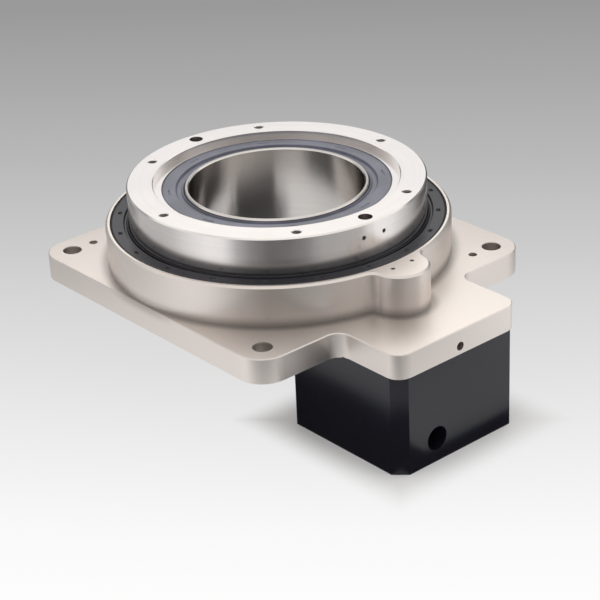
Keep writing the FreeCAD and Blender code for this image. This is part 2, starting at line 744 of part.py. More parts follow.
def crossed_roller_bearing():
    """Inner ring, outer ring in two halves, crossed rollers in a cage, and the ring screws."""
    mouth_out = groove_reach - race_gap / 2
    top = floor_t + bearing_h
    screw_r = outer_race_r - outer_screw_in
    half_step = 180 / race_screws_n.number

    lower = turned("outer_race_lower", [
        (outer_race_bore_r, floor_t),
        (outer_race_r - race_edge, floor_t),
        (outer_race_r, floor_t + race_edge),
        (outer_race_r, roller_z),
        (roller_circle_r + groove_reach, roller_z),
        (outer_race_bore_r, roller_z - mouth_out),
    ])
    x, y = polar(screw_r, half_step)
    sketch = sketch_on(lower, "XY_Plane", "lower_race_hole_outline", floor_t)
    circle(sketch, x, y, m4_r + shank_play)
    hole = pocket(lower, sketch, bearing_h, "lower_race_hole", upward=True)
    around(lower, [hole], race_screws_n, "lower_race_holes")

    upper = turned("outer_race_upper", [
        (roller_circle_r + groove_reach, roller_z),
        (outer_race_r, roller_z),
        (outer_race_r, top - race_edge),
        (outer_race_r - race_edge, top),
        (outer_race_bore_r, top),
        (outer_race_bore_r, roller_z + mouth_out),
    ])
    seat = m4_head_h + head_play
    sketch = sketch_on(upper, "XY_Plane", "upper_race_tap_outline", roller_z)
    circle(sketch, x, y, m4_core)
    depth = seat + long_screw + tip_room - roller_z
    tap = pocket(upper, sketch, depth, "upper_race_tap", upward=True)
    around(upper, [tap], race_screws_n, "upper_race_taps")
    screw = cap_screw(m4_r, m4_core, m4_head_r, m4_head_h, m4_key, roller_z - seat, long_screw)
    feature_node("outer_race_screws", placed(screw, circle_spots(race_screws_n, screw_r, seat, half_step)))

    inner = turned("inner_race", [
        (turning_bore_r, turning_z + race_edge),
        (turning_bore_r + race_edge, turning_z),
        (inner_race_r, turning_z),
        (inner_race_r, roller_z - mouth_out),
        (roller_circle_r - groove_reach, roller_z),
        (inner_race_r, roller_z + mouth_out),
        (inner_race_r, table_seat_z),
        (turning_bore_r, table_seat_z),
    ])
    screw_r = turning_bore_r + inner_screw_in
    sketch = sketch_on(inner, "XY_Plane", "inner_race_hole_outline", turning_z)
    circle(sketch, screw_r, 0, m4_r + shank_play)
    hole = pocket(inner, sketch, bearing_h, "inner_race_hole", upward=True)
    sketch = sketch_on(inner, "XY_Plane", "inner_race_head_outline", turning_z)
    circle(sketch, screw_r, 0, m4_head_r + head_play)
    head = pocket(inner, sketch, m4_head_h + head_play, "inner_race_head", upward=True)
    around(inner, [hole, head], race_screws_n, "inner_race_holes")
    screw = cap_screw(m4_r, m4_core, m4_head_r, m4_head_h, m4_key, bearing_h - seat, long_screw)
    spots = circle_spots(race_screws_n, screw_r, turning_z + seat)
    feature_node("inner_race_screws", placed(screw, spots))

    length = (roller_r - roller_end_play) * 2
    rollers = []
    count = int(round(roller_pairs.number)) * 2
    for i in range(count):
        roller = Part.makeCylinder(roller_r.number, length.number, V(0, 0, -length.number / 2))
        roller.rotate(V(0, 0, 0), V(0, 1, 0), 45 if i % 2 else -45)
        roller.translate(V(roller_circle_r.number, 0, roller_z.number))
        roller.rotate(V(0, 0, 0), UP, i * 360 / count)
        rollers.append(roller)
    feature_node("crossed_rollers", Part.makeCompound(rollers))

    cage = turned("roller_cage", [
        (roller_circle_r - cage_t / 2, roller_z - cage_h / 2),
        (roller_circle_r + cage_t / 2, roller_z - cage_h / 2),
        (roller_circle_r + cage_t / 2, roller_z + cage_h / 2),
        (roller_circle_r - cage_t / 2, roller_z + cage_h / 2),
    ])
    wide = roller_r + cage_play
    tall = groove_reach + cage_play
    sketch = sketch_on(cage, "YZ_Plane", "cage_window_outline", roller_circle_r + cage_t)
    polygon(sketch, [
        (-wide, roller_z - tall),
        (wide, roller_z - tall),
        (wide, roller_z + tall),
        (-wide, roller_z + tall),
    ])
    window = pocket(cage, sketch, cage_t * 4, "cage_window")
    around(cage, [window], roller_pairs * 2, "cage_windows")


# ---------------------------------------------------------------- ring gear

def ring_gear():
    """External ring gear under the table's flange; its first tooth gap faces the pinion."""
    teeth = ring_teeth.number
    first = math.pi / teeth
    wire = tooth_ring(teeth, gear_pitch_r.number, gear_tip_r.number, gear_root_r.number, first)
    blank = Part.Face(wire).extrude(V(0, 0, gear_h.number))
    blank.translate(V(0, 0, turning_z.number))
    tall = gear_h.number * 2
    low = turning_z.number - 1
    tools = [Part.makeCylinder(gear_bore_r.number, tall, V(0, 0, low))]
    head_depth = (m4_head_h + head_play).number
    for x, y, z in circle_spots(gear_screws_n, gear_screw_r, turning_z):
        tools.append(Part.makeCylinder((m4_r + shank_play).number, tall, V(x, y, low)))
        tools.append(Part.makeCylinder((m4_head_r + head_play / 2).number, head_depth + 1, V(x, y, low)))
    feature_node("ring_gear", blank.cut(tools))
    seat = m4_head_h + head_play
    screw = cap_screw(m4_r, m4_core, m4_head_r, m4_head_h, m4_key, gear_h - seat, gear_screw)
    spots = circle_spots(gear_screws_n, gear_screw_r, turning_z + seat)
    feature_node("ring_gear_screws", placed(screw, spots))


# ---------------------------------------------------------------- table

def rotary_table():
    """Table disc with its raised rim, the seat for the inner ring, and the skirt over the ring gear."""
    web_tap_r = turning_bore_r + inner_screw_in
    body = turned("rotary_table", [
        (turning_bore_r, table_seat_z),
        (gear_bore_r, table_seat_z),
        (gear_bore_r, gear_top_z),
        (flange_r, gear_top_z),
        (flange_r, flange_top_z),
        (table_r, flange_top_z),
        (table_r, table_top_z - table_edge),
        (table_r - table_edge, table_top_z),
        (recess_r + rim_edge, table_top_z),
        (recess_r, table_top_z - rim_edge),
        (recess_r, recess_z),
        (pocket_r, recess_z),
        (pocket_r, pocket_z),
        (turning_bore_r, pocket_z),
    ])
    bind(body, "Placement.Rotation.Angle", table_turn)
    sixth = 180 / table_taps_n.number
    x, y = polar(table_tap_circle_r, sixth)
    sketch = sketch_on(body, "XY_Plane", "table_tap_outline", table_top_z)
    circle(sketch, x, y, table_tap_r)
    tap = pocket(body, sketch, table_tap_depth, "table_tap")
    sketch = sketch_on(body, "XY_Plane", "table_tap_mouth_outline", table_top_z)
    circle(sketch, x, y, table_tap_r + table_tap_mouth)
    mouth = pocket(body, sketch, table_tap_mouth, "table_tap_mouth_cut")
    mouth.TaperAngle = -45
    around(body, [tap, mouth], table_taps_n, "table_taps")
    sketch = sketch_on(body, "XY_Plane", "table_dowel_outline", table_top_z)
    circle(sketch, table_tap_circle_r, 0, table_dowel_r)
    circle(sketch, -table_tap_circle_r, 0, table_dowel_r)
    pocket(body, sketch, table_tap_depth, "table_dowel_holes")
    sketch = sketch_on(body, "YZ_Plane", "flag_taps_outline", table_r)
    circle(sketch, -flag_tap_y, table_top_z - flag_tap_down, small_tap_r)
    circle(sketch, flag_tap_y, table_top_z - flag_tap_down, small_tap_r)
    pocket(body, sketch, small_tap_depth, "flag_taps")

    turn = -table_turn.number
    seat = m4_head_h + head_play
    depth = seat + long_screw + tip_room - bearing_h
    x, y = polar(web_tap_r, turn)
    sketch = sketch_on(body, "XY_Plane", "web_tap_outline", table_seat_z)
    circle(sketch, x, y, m4_core)
    tap = pocket(body, sketch, depth, "web_tap", upward=True)
    around(body, [tap], race_screws_n, "web_taps")
    x, y = polar(gear_screw_r, turn)
    depth = seat + gear_screw + tip_room - gear_h
    sketch = sketch_on(body, "XY_Plane", "skirt_tap_outline", gear_top_z)
    circle(sketch, x, y, m4_core)
    tap = pocket(body, sketch, depth, "skirt_tap", upward=True)
    around(body, [tap], gear_screws_n, "skirt_taps")


# ---------------------------------------------------------------- oil seals

def oil_seals():
    """Outer seal between the housing and the table, inner seal between the table and the sleeve."""
    lip_r_out = table_r + seal_play
    case_r = housing_r - seal_wall - seat_fit
    top = seal_z + seal_h
    body = turned("outer_oil_seal", [
        (case_r, seal_z),
        (case_r, top - 0.9),
        (case_r - 1.4, top),
        (lip_r_out + 2.9, top),
        (lip_r_out + 2.4, top - 1.5),
        (lip_r_out + 1.3, top - 1.5),
        (lip_r_out + 0.7, top - 0.1),
        (lip_r_out, top - 0.6),
        (lip_r_out, top - 1.7),
        (lip_r_out + 0.8, top - 3.1),
        (lip_r_out + 0.8, seal_z + 2.5),
        (lip_r_out + 3.2, seal_z + 2.5),
        (lip_r_out + 3.2, top - 4.3),
        (case_r - 3.5, top - 4.3),
        (case_r - 3.5, seal_z),
    ])
    x, y = polar(seal_pip_circle_r, 180 / seal_pips_n.number)
    sketch = sketch_on(body, "XY_Plane", "seal_pip_outline", top)
    circle(sketch, x, y, seal_pip_r)
    pip = pocket(body, sketch, seal_pip_r * 0.7, "seal_pip")
    around(body, [pip], seal_pips_n, "seal_pips")

    lip = sleeve_r + seal_play
    case_r = pocket_r - seat_fit
    top = pocket_z + inner_seal_h
    turned("inner_oil_seal", [
        (case_r, pocket_z),
        (case_r, top - 0.6),
        (case_r - 0.6, top),
        (lip + 4.6, top),
        (lip + 3.8, top - 1.6),
        (lip + 1.4, top - 1.6),
        (lip + 0.8, top - 0.4),
        (lip, top - 0.8),
        (lip, top - 2),
        (lip + 0.9, top - 3.4),
        (lip + 0.9, pocket_z + 2.4),
        (lip + 3.2, pocket_z + 2.4),
        (lip + 3.2, top - 4.6),
        (case_r - 3.9, top - 4.6),
        (case_r - 3.9, pocket_z),
    ])


# ---------------------------------------------------------------- motor adapter

def motor_adapter():
    """Square block under the extension: spigot, bearing seat, coupling space and motor face."""
    body = new_body("motor_adapter")
    bind(body, "Placement.Base.x", centre)
    sketch = sketch_on(body, "XY_Plane", "adapter_outline", -adapter_h)
    a = adapter_half
    b = adapter_half - adapter_edge
    polygon(sketch, [(-b, -a), (b, -a), (a, -b), (a, b), (b, a), (-b, a), (-a, b), (-a, -b)])
    pad(body, sketch, adapter_h, "block")
    sketch = sketch_on(body, "XY_Plane", "spigot_outline")
    circle(sketch, 0, 0, spigot_r)
    pad(body, sketch, spigot_h, "spigot")
    groove_top = brg_low_z
    groove_low = groove_top - clip_t - clip_room * 2
    land = groove_low - clip_t * 2
    turned_cut(body, [
        (ZERO, -adapter_h),
        (pilot_r + seat_fit, -adapter_h),
        (pilot_r + seat_fit, pilot_depth - adapter_h),
        (adapter_bore_r, pilot_depth - adapter_h),
        (adapter_bore_r, land),
        (brg_r + seat_fit, land),
        (brg_r + seat_fit, groove_low),
        (brg_r + clip_deep, groove_low),
        (brg_r + clip_deep, groove_top),
        (brg_r + seat_fit, groove_top),
        (brg_r + seat_fit, ZERO),
        (lip_r, ZERO),
        (lip_r, spigot_h),
        (ZERO, spigot_h),
    ], "adapter_inside")
    x, y = polar(motor_bolts_r, 45)
    sketch = sketch_on(body, "XY_Plane", "motor_tap_outline", -adapter_h)
    circle(sketch, x, y, m6_core)
    tap = pocket(body, sketch, motor_bolt_depth, "motor_tap", upward=True)
    around(body, [tap], as_size(4), "motor_taps")

    seat_z = adapter_tap_depth - tip_room / 2 - adapter_screw
    holes = sketch_on(body, "XY_Plane", "adapter_hole_outline", seat_z)
    heads = sketch_on(body, "XY_Plane", "adapter_head_outline", -adapter_h)
    spots = []
    for x in (-adapter_screw_x, adapter_screw_x):
        for y in (adapter_screw_in - adapter_half, adapter_half - adapter_screw_in):
            circle(holes, x, y, m5_r + shank_play)
            circle(heads, x, y, m5_head_r + head_play)
            spots.append((centre.number + x.number, y.number, seat_z.number))
    pocket(body, holes, -seat_z, "adapter_holes", upward=True)
    pocket(body, heads, adapter_h + seat_z, "adapter_heads", upward=True)
    screw = cap_screw(m5_r, m5_core, m5_head_r, m5_head_h, m5_key, -seat_z, adapter_screw)
    feature_node("adapter_screws", placed(screw, spots))

    sketch = sketch_on(body, "YZ_Plane", "access_outline", adapter_half)
    circle(sketch, -clamp_screw_y, -clamp_z, access_r)
    body.Tip = pocket(body, sketch, adapter_half - clamp_seat - m5_head_h, "access_hole")

    outline = [
        (0, 0),
        ((m6_core - thread_play).number, 0),
        ((m6_core - thread_play).number, lock_len.number),
        (0, lock_len.number),
    ]
    lock = screw_shape(outline, lock_key.number, lock_len.number / 4, 0)
    lock.rotate(V(0, 0, 0), V(0, 1, 0), -90)
    tip = centre + spigot_r + seat_fit
    lock.translate(V((tip + lock_len).number, 0, lock_z.number))
    feature_node("spigot_set_screw", lock)


# ---------------------------------------------------------------- pinion shaft

def pinion_shaft():
    """Pinion cut on its shaft, with a slotted socket below for the motor shaft."""
    groove_top = brg_low_z
    groove_low = groove_top - clip_t - clip_room * 2
    nose_top = nose_z + nose_brg_h + nose_step / 2
    body = turned("pinion_shaft", [
        (socket_r, -shaft_low),
        (shaft_r, -shaft_low),
        (shaft_r, groove_low),
        (shaft_r - clip_deep, groove_low),
        (shaft_r - clip_deep, groove_top),
        (shaft_r, groove_top),
        (shaft_r, ZERO),
        (collar_shoulder_r, ZERO),
        (collar_shoulder_r, collar_shoulder_h),
        (neck_r, collar_shoulder_h),
        (neck_r, pinion_z),
        (pinion_tip_r, pinion_z),
        (pinion_tip_r, pinion_z + pinion_h),
        (nose_r + nose_ring_t, pinion_z + pinion_h),
        (nose_r + nose_ring_t, nose_z),
        (nose_r, nose_z),
        (nose_r, nose_top - 0.5),
        (nose_r - 0.5, nose_top),
        (ZERO, nose_top),
        (ZERO, -socket_top),
        (socket_r, -socket_top),
    ])
    bind(body, "Placement.Base.x", centre)
    half = slot_w / 2
    sketch = sketch_on(body, "XY_Plane", "slots_outline", -shaft_low)
    polygon(sketch, [
        (-half, -shaft_r * 2), (half, -shaft_r * 2), (half, -half), (shaft_r * 2, -half),
        (shaft_r * 2, half), (half, half), (half, shaft_r * 2), (-half, shaft_r * 2),
        (-half, half), (-shaft_r * 2, half), (-shaft_r * 2, -half), (-half, -half),
    ])
    pocket(body, sketch, shaft_low - slot_top, "clamping_slots", upward=True)

    # one tooth gap, cut through the blank and repeated round it
    teeth = int(round(pinion_teeth.number))
    pitch_r = pinion_pitch_r.number
    root_r = pinion_root_r.number
    tip_r = pinion_tip_r.number
    base_r = pitch_r * math.cos(math.radians(press_angle.number))
    half_gap = math.pi / (2 * teeth) + backlash.number / (4 * pitch_r) - involute_angle(base_r, pitch_r)
    middle = math.pi + math.pi / teeth
    over_r = tip_r * 1.05

    def at(radius, side):
        swing = half_gap + involute_angle(base_r, radius)
        angle = middle + side * swing
        return V(radius * math.cos(angle), radius * math.sin(angle), 0)

    def flank(side):
        radii = [base_r + (over_r - base_r) * (k / 4) for k in range(5)]
        curve = Part.BSplineCurve()
        curve.interpolate([at(r, side) for r in radii])
        return curve

    sketch = sketch_on(body, "XY_Plane", "tooth_gap_outline", pinion_z)
    low_root = V(root_r * math.cos(middle - half_gap), root_r * math.sin(middle - half_gap), 0)
    high_root = V(root_r * math.cos(middle + half_gap), root_r * math.sin(middle + half_gap), 0)
    floor_mid = V(root_r * math.cos(middle), root_r * math.sin(middle), 0)
    outside = V(over_r * math.cos(middle), over_r * math.sin(middle), 0)
    sketch.addGeometry([
        Part.LineSegment(low_root, at(base_r, -1)),
        flank(-1),
        Part.Arc(at(over_r, -1), outside, at(over_r, 1)),
        flank(1),
        Part.LineSegment(at(base_r, 1), high_root),
        Part.Arc(high_root, floor_mid, low_root),
    ], False)
    gap = pocket(body, sketch, pinion_h, "tooth_gap", upward=True)
    around(body, [gap], pinion_teeth, "tooth_gaps")


def clamp_collar():
    """Split collar round the slotted socket, drawn together by one screw across the slit."""
    low = -(clamp_z + clamp_h / 2)
    high = -(clamp_z - clamp_h / 2)
    body = turned("clamp_collar", [
        (shaft_r + seat_fit, low),
        (clamp_r - race_edge, low),
        (clamp_r, low + race_edge),
        (clamp_r, high - race_edge),
        (clamp_r - race_edge, high),
        (shaft_r + seat_fit, high),
    ])
    bind(body, "Placement.Base.x", centre)
    half = slot_w / 2
    sketch = sketch_on(body, "XY_Plane", "slit_outline", low)
    polygon(sketch, [
        (-half, -clamp_r * 1.2),
        (half, -clamp_r * 1.2),
        (half, -shaft_r / 2),
        (-half, -shaft_r / 2),
    ])
    pocket(body, sketch, clamp_h, "slit", upward=True)
    seat = clamp_seat
    sketch = sketch_on(body, "YZ_Plane", "clamp_head_outline", clamp_r)
    circle(sketch, -clamp_screw_y, -clamp_z, m5_head_r + head_play)
    pocket(body, sketch, clamp_r - seat, "clamp_head")
    sketch = sketch_on(body, "YZ_Plane", "clamp_hole_outline", seat)
    circle(sketch, -clamp_screw_y, -clamp_z, m5_r + shank_play)
    pocket(body, sketch, seat, "clamp_hole")
    sketch = sketch_on(body, "YZ_Plane", "clamp_tap_outline")
    circle(sketch, -clamp_screw_y, -clamp_z, m5_core)
    body.Tip = pocket(body, sketch, clamp_screw - seat + tip_room, "clamp_tap")
    screw = cap_screw(m5_r, m5_core, m5_head_r, m5_head_h, m5_key, seat, clamp_screw)
    screw.rotate(V(0, 0, 0), V(0, 1, 0), -90)
    screw.translate(V((centre + seat).number, -clamp_screw_y.number, -clamp_z.number))
    feature_node("clamp_screw", screw)


def shaft_bearings():
    """Two shielded bearings with spacers and retaining rings below, one small one at the nose."""
    def at_shaft(shape, z):
        shape.translate(V(centre.number, 0, z.number))
        return shape

    def bearing_rings(bore, outer, inner_t, outer_t, height):
        shield_r = bore + inner_t + shield_play
        inner = ring_shape(bore, bore + inner_t, ZERO, height)
        shell = ring_shape(shield_r, outer, ZERO, height)
        room = ring_shape(bore + inner_t, outer - outer_t, shield_t, height - shield_t)
        return inner, shell.cut(room)

    lows = [-brg_h, brg_low_z]
    inners = []
    outers = []
    for low in lows:
        inner, outer = bearing_rings(shaft_r + seat_fit, brg_r, brg_inner_t, brg_ring_t, brg_h)
        inners.append(at_shaft(inner, low))
        outers.append(at_shaft(outer, low))
    feature_node("shaft_bearing_inner_rings", Part.makeCompound(inners))
    feature_node("shaft_bearing_outer_rings", Part.makeCompound(outers))
    low = -(brg_h + spacer_h)
    spacer = ring_shape(shaft_r + seat_fit, shaft_r + brg_inner_t, ZERO, spacer_h)
    feature_node("shaft_spacer", at_shaft(spacer, low))
    spacer = ring_shape(brg_r - brg_ring_t, brg_r, ZERO, spacer_h)
    feature_node("seat_spacer", at_shaft(spacer, low))

    def open_ring(inner_r, outer_r, mouth):
        clip = ring_shape(inner_r, outer_r, ZERO, clip_t)
        gap = Part.makeBox(outer_r.number * 2, mouth.number, clip_t.number * 4)
        gap.translate(V(0, -mouth.number / 2, -clip_t.number))
        return clip.cut(gap)

    low = brg_low_z - clip_room - clip_t
    clip = open_ring(shaft_r - clip_deep + seat_fit, shaft_r - clip_deep + clip_w, shaft_r / 2)
    feature_node("shaft_retaining_ring", at_shaft(clip, low))
    edge = brg_r + clip_deep - seat_fit
    clip = open_ring(edge - clip_w, edge, shaft_r / 2)
    feature_node("seat_retaining_ring", at_shaft(clip, low))
    inner, outer = bearing_rings(nose_r + seat_fit, nose_brg_r, nose_ring_t, nose_ring_t, nose_brg_h)
    feature_node("nose_bearing_inner_ring", at_shaft(inner, nose_z))
    feature_node("nose_bearing_outer_ring", at_shaft(outer, nose_z))


# ---------------------------------------------------------------- build, check and write

base_housing()
hollow_sleeve()
crossed_roller_bearing()
ring_gear()
rotary_table()
oil_seals()
motor_adapter()
pinion_shaft()
clamp_collar()
shaft_bearings()
doc.recompute()

for thing in doc.Objects:
    if "Invalid" in thing.State or "Error" in thing.State:
        raise RuntimeError("%s failed: %s" % (thing.Label, thing.State))
for node in nodes:
    if node.Shape.isNull() or not node.Shape.isValid() or not node.Shape.Solids:
        raise RuntimeError("no good shape: " + node.Label)

os.makedirs("parts", exist_ok=True)
for node in nodes:
    node.Shape.exportStep("parts/%s.step" % node.Label)
    print("%-28s %3d solids %10.1f mm3" % (node.Label, len(node.Shape.Solids), node.Shape.Volume))
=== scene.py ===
"""Hollow rotary platform: metal finishes, rubber seals, screw threads and the studio.

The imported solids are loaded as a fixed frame. Each operator below finishes one group of
its parts, or adds the pieces that the solids only stand in for.
"""
import json
import math
from typing import NamedTuple

import bpy
import numpy as np
from bpy.props import FloatProperty, FloatVectorProperty, IntProperty, PointerProperty
from bpy.types import Operator, Panel, PropertyGroup
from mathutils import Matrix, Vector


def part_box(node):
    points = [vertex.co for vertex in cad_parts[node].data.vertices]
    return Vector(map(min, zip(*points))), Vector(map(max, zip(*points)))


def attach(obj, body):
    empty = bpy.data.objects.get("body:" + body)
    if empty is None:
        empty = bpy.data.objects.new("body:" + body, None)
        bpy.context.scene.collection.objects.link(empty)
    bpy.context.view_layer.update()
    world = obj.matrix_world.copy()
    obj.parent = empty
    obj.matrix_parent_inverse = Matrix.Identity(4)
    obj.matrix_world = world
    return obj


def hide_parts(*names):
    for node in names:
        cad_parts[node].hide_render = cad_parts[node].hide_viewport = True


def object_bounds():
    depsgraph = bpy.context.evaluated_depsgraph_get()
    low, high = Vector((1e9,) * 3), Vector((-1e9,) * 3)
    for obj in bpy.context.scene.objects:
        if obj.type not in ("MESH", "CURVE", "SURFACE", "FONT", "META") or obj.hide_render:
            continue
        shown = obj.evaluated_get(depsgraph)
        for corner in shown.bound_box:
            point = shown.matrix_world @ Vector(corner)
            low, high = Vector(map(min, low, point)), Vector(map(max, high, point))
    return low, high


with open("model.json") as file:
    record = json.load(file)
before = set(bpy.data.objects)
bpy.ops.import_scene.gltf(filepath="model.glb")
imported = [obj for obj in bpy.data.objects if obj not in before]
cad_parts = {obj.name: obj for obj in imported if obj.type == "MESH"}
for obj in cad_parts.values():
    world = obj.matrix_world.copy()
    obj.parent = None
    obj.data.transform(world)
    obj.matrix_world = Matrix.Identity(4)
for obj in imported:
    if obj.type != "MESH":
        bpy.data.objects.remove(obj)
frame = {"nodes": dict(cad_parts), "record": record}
CAD_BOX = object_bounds()

bl_info = {
    "name": "Hollow Rotary Platform",
    "version": (1, 0, 0),
    "blender": (4, 5, 0),
    "location": "View3D > Sidebar > Platform",
    "description": "Finishes, seals, threads and studio for a hollow rotary platform",
    "category": "Object",
}

MM = 0.001
SLOTS = {name: solid.material_slots[0].material.name for name, solid in frame["nodes"].items()}


# ---------------- sizes and colours

def colour(name, description, default):
    """A colour property with its name, description and default."""
    return FloatVectorProperty(name=name, description=description, subtype="COLOR", size=3,
                               min=0.0, max=1.0, default=default)


def length(name, description, default):
    """A length property, in metres."""
    return FloatProperty(name=name, description=description, subtype="DISTANCE", unit="LENGTH",
                         precision=5, default=default)


def share(name, description, default):
    """A property that runs from nothing to all."""
    return FloatProperty(name=name, description=description, subtype="FACTOR",
                         min=0.0, max=1.0, default=default)


def level(name, description, default):
    """A level of light, where 1 is white."""
    return FloatProperty(name=name, description=description, min=0.0, default=default)


class PlatformFinishes(PropertyGroup):
    """Colour, roughness and marks of each finish"""
    housing_colour: colour("Housing", "Satin nickel on the base housing", (0.80, 0.74, 0.70))
    housing_rough: share("Housing roughness", "How far the satin spreads a reflection", 0.39)
    # Painted shade and dark reflection in the corner at the round wall's foot.
    corner_shade: share("Corner dirt", "Dirt in the corner at the round wall's foot", 0.45)
    # Painted shade down the housing's bolt holes.
    hole_shade: share("Hole dirt", "Dirt down the housing's bolt holes", 0.34)
    table_colour: colour("Table", "Bright turned nickel on the table", (0.85, 0.81, 0.79))
    table_rough: share("Table roughness", "Roughness along the turning marks", 0.195)
    table_spread: share("Table spread", "How far turning marks draw a reflection out", 0.58)
    # Painted shade and dark reflection at the foot of the table's wall, by the seal.
    table_film: share("Oil film", "Oil at the foot of the table's wall", 0.72)
    sleeve_colour: colour("Sleeve", "Turned steel of the hollow sleeve", (0.70, 0.665, 0.64))
    sleeve_rough: share("Sleeve roughness", "Roughness along the turning marks", 0.195)
    sleeve_spread: share("Sleeve spread", "How far turning marks draw a reflection out", 0.72)
    sleeve_edge: share("Sleeve edge", "Mirror left on the sleeve at a grazing angle", 0.30)
    turning_pitch: length("Turning pitch", "Feed of the turning tool in one turn", 0.00022)
    race_colour: colour("Bearing steel", "Ground rings and rollers", (0.56, 0.56, 0.57))
    race_rough: share("Bearing roughness", "Roughness of the ground steel", 0.22)
    brass_colour: colour("Cage brass", "Roller cage", (0.72, 0.50, 0.22))
    gear_colour: colour("Gear steel", "Ring gear and pinion", (0.46, 0.46, 0.48))
    oxide_colour: colour("Black oxide", "Screws", (0.028, 0.028, 0.032))
    oxide_rough: share("Oxide roughness", "Roughness of the blacked screws", 0.42)
    collar_colour: colour("Collar steel", "Clamp collar, spacers and retaining rings",
                          (0.20, 0.20, 0.21))
    collar_rough: share("Collar roughness", "Roughness of the collar steel", 0.34)
    block_colour: colour("Black anodised", "Motor adapter", (0.0075, 0.008, 0.0150))
    block_rough: share("Block roughness", "Satin of the anodised block", 0.30)
    block_gloss: share("Block gloss", "Specular level of the anodised block", 0.58)
    outer_rubber: colour("Outer seal", "Rubber of the outer oil seal", (0.0085, 0.009, 0.0165))
    outer_rough: share("Outer seal roughness", "Roughness of the outer seal's rubber", 0.29)
    outer_gloss: share("Outer seal gloss", "Specular level of the outer seal", 0.38)
    # The inner seal's blue-grey is partly the rubber's own colour and partly a painted sheen of
    # the sky.
    inner_rubber: colour("Inner seal", "Rubber of the inner oil seal", (0.125, 0.128, 0.172))
    inner_rough: share("Inner seal roughness", "Roughness of the inner seal's rubber", 0.36)
    inner_gloss: share("Inner seal gloss", "Specular level of the inner seal", 0.50)


class PlatformSeals(PropertyGroup):
    """Pockets and edges of the moulded seals"""
    dimple_count: IntProperty(name="Dimples", description="Dimples round the outer seal's face",
                              default=20, min=1)
    dimple_along: length("Dimple length", "Round the seal", 0.0030)
    dimple_across: length("Dimple width", "Across the seal's face", 0.0019)
    dimple_depth: length("Dimple depth", "Below the seal's face", 0.0009)
    arc_count: IntProperty(name="Arcs", description="Short arcs in the inner seal's face",
                           default=8, min=1)
    arc_along: length("Arc length", "Round the seal", 0.0072)
    arc_across: length("Arc width", "Across the seal's face", 0.0009)
    arc_depth: length("Arc depth", "Below the seal's face", 0.0005)
    edge_round: length("Moulded edge", "Radius of the seals' edges", 0.00025)


class PlatformThreads(PropertyGroup):
    """Form of the thread ridges"""
    coarse_pitch: length("Coarse pitch", "Pitch of the larger tapped holes", 0.0010)
    fine_pitch: length("Fine pitch", "Pitch of the small tapped holes", 0.0005)
    crest: share("Crest", "Thread height as a share of its pitch", 0.34)
    per_turn: IntProperty(name="Steps per turn", description="Steps of one thread turn",
                          default=20, min=6)


class PlatformStudio(PropertyGroup):
    """Floor, cards, light and camera"""
    floor_size: length("Floor", "Side of the pale floor", 9.0)
    lift: share("Floor lift", "Share of the floor's tone that no shadow reaches", 0.95)
    contact: length("Contact shadow", "Width of the deeper shadow round the block's foot", 0.026)
    flag_place: length("Flag", "How far the black flag leans out from the block's foot", 0.022)
    flag_height: length("Flag height", "Above the floor, on the block's dark sides", 0.023)
    near_place: length("Near cards", "From the platform's axis to the low ring of cards", 0.24)
    far_place: length("Far cards", "From the platform's axis to the tall ring of cards", 0.60)
    horizon: level("Horizon", "Level of the light near the horizon", 0.6)
    high_light: level("High light", "Level of the brightest high softbox", 1.7)
    overhead: level("Overhead", "Level of the light from straight above", 1.15)
    camera_place: FloatVectorProperty(name="Camera", description="Where the camera stands",
                                      subtype="TRANSLATION", unit="LENGTH", size=3,
                                      default=(0.77535, -0.63789, 0.48147))
    camera_turn: FloatVectorProperty(name="Camera turn", description="How the camera is turned",
                                     subtype="EULER", unit="ROTATION", size=3,
                                     default=(math.radians(63.46704), math.radians(2.33965),
                                              math.radians(48.81079)))
    camera_lens: FloatProperty(name="Lens", description="Focal length in millimetres",
                               subtype="DISTANCE_CAMERA", unit="CAMERA", default=115.423)


GROUPS = {
    "platform_finishes": PlatformFinishes,
    "platform_seals": PlatformSeals,
    "platform_threads": PlatformThreads,
    "platform_studio": PlatformStudio,
}

# Sizes of the solids that neither a mount nor a box gives, with angles in degrees.
WALL_BEYOND_SEAL = 2.52 * MM     # round wall, beyond the seal in it
LOBE_RADIUS = 16.5 * MM          # lobe over the pinion
RIM_BEYOND_WALL = 1.5 * MM       # table's rim, beyond the wall under it
OUTER_SEAL_WIDTH = 10.68 * MM    # from case to lip
INNER_SEAL_WIDTH = 12.58 * MM
DOWEL_TO_BOLT = 30.0             # from the table's dowel hole to the next tapped hole
FIRST_MOTOR_BOLT = 45.0

# Marks on the metal, and painted shade on it.
FOOT_SHADE_HEIGHT = 7.5 * MM           # how far the painted shade climbs the table's wall
CORNER_SHADE_START = 6.5 * MM            # how far from its corner the painted shade starts
CORNER_SHADE_FULL = 0.4 * MM             # and where it is full
BARE_STEEL = (0.34, 0.33, 0.32)

# How far below each tapped hole's mouth its thread starts, and how far it runs.
TABLE_THREAD = (0.7 * MM, 10.5 * MM)
MOTOR_THREAD = (0.3 * MM, 14.5 * MM)
FLAG_THREAD = (0.25 * MM, 5.6 * MM)
SENSOR_THREAD = (0.2 * MM, 6.0 * MM)

# A thread's ridge.
RIDGE_SUNK = 0.04 * MM           # how deep its foot stands in the wall
RIDGE_FOOT = 0.40                # half its width at the foot, as a share of the pitch
RIDGE_TIP = 0.08                 # and at the tip
RUN_OUT = 1.5 * math.pi          # turn over which an end rises to full height
NARROWEST = 0.25                 # share of its width that an end keeps

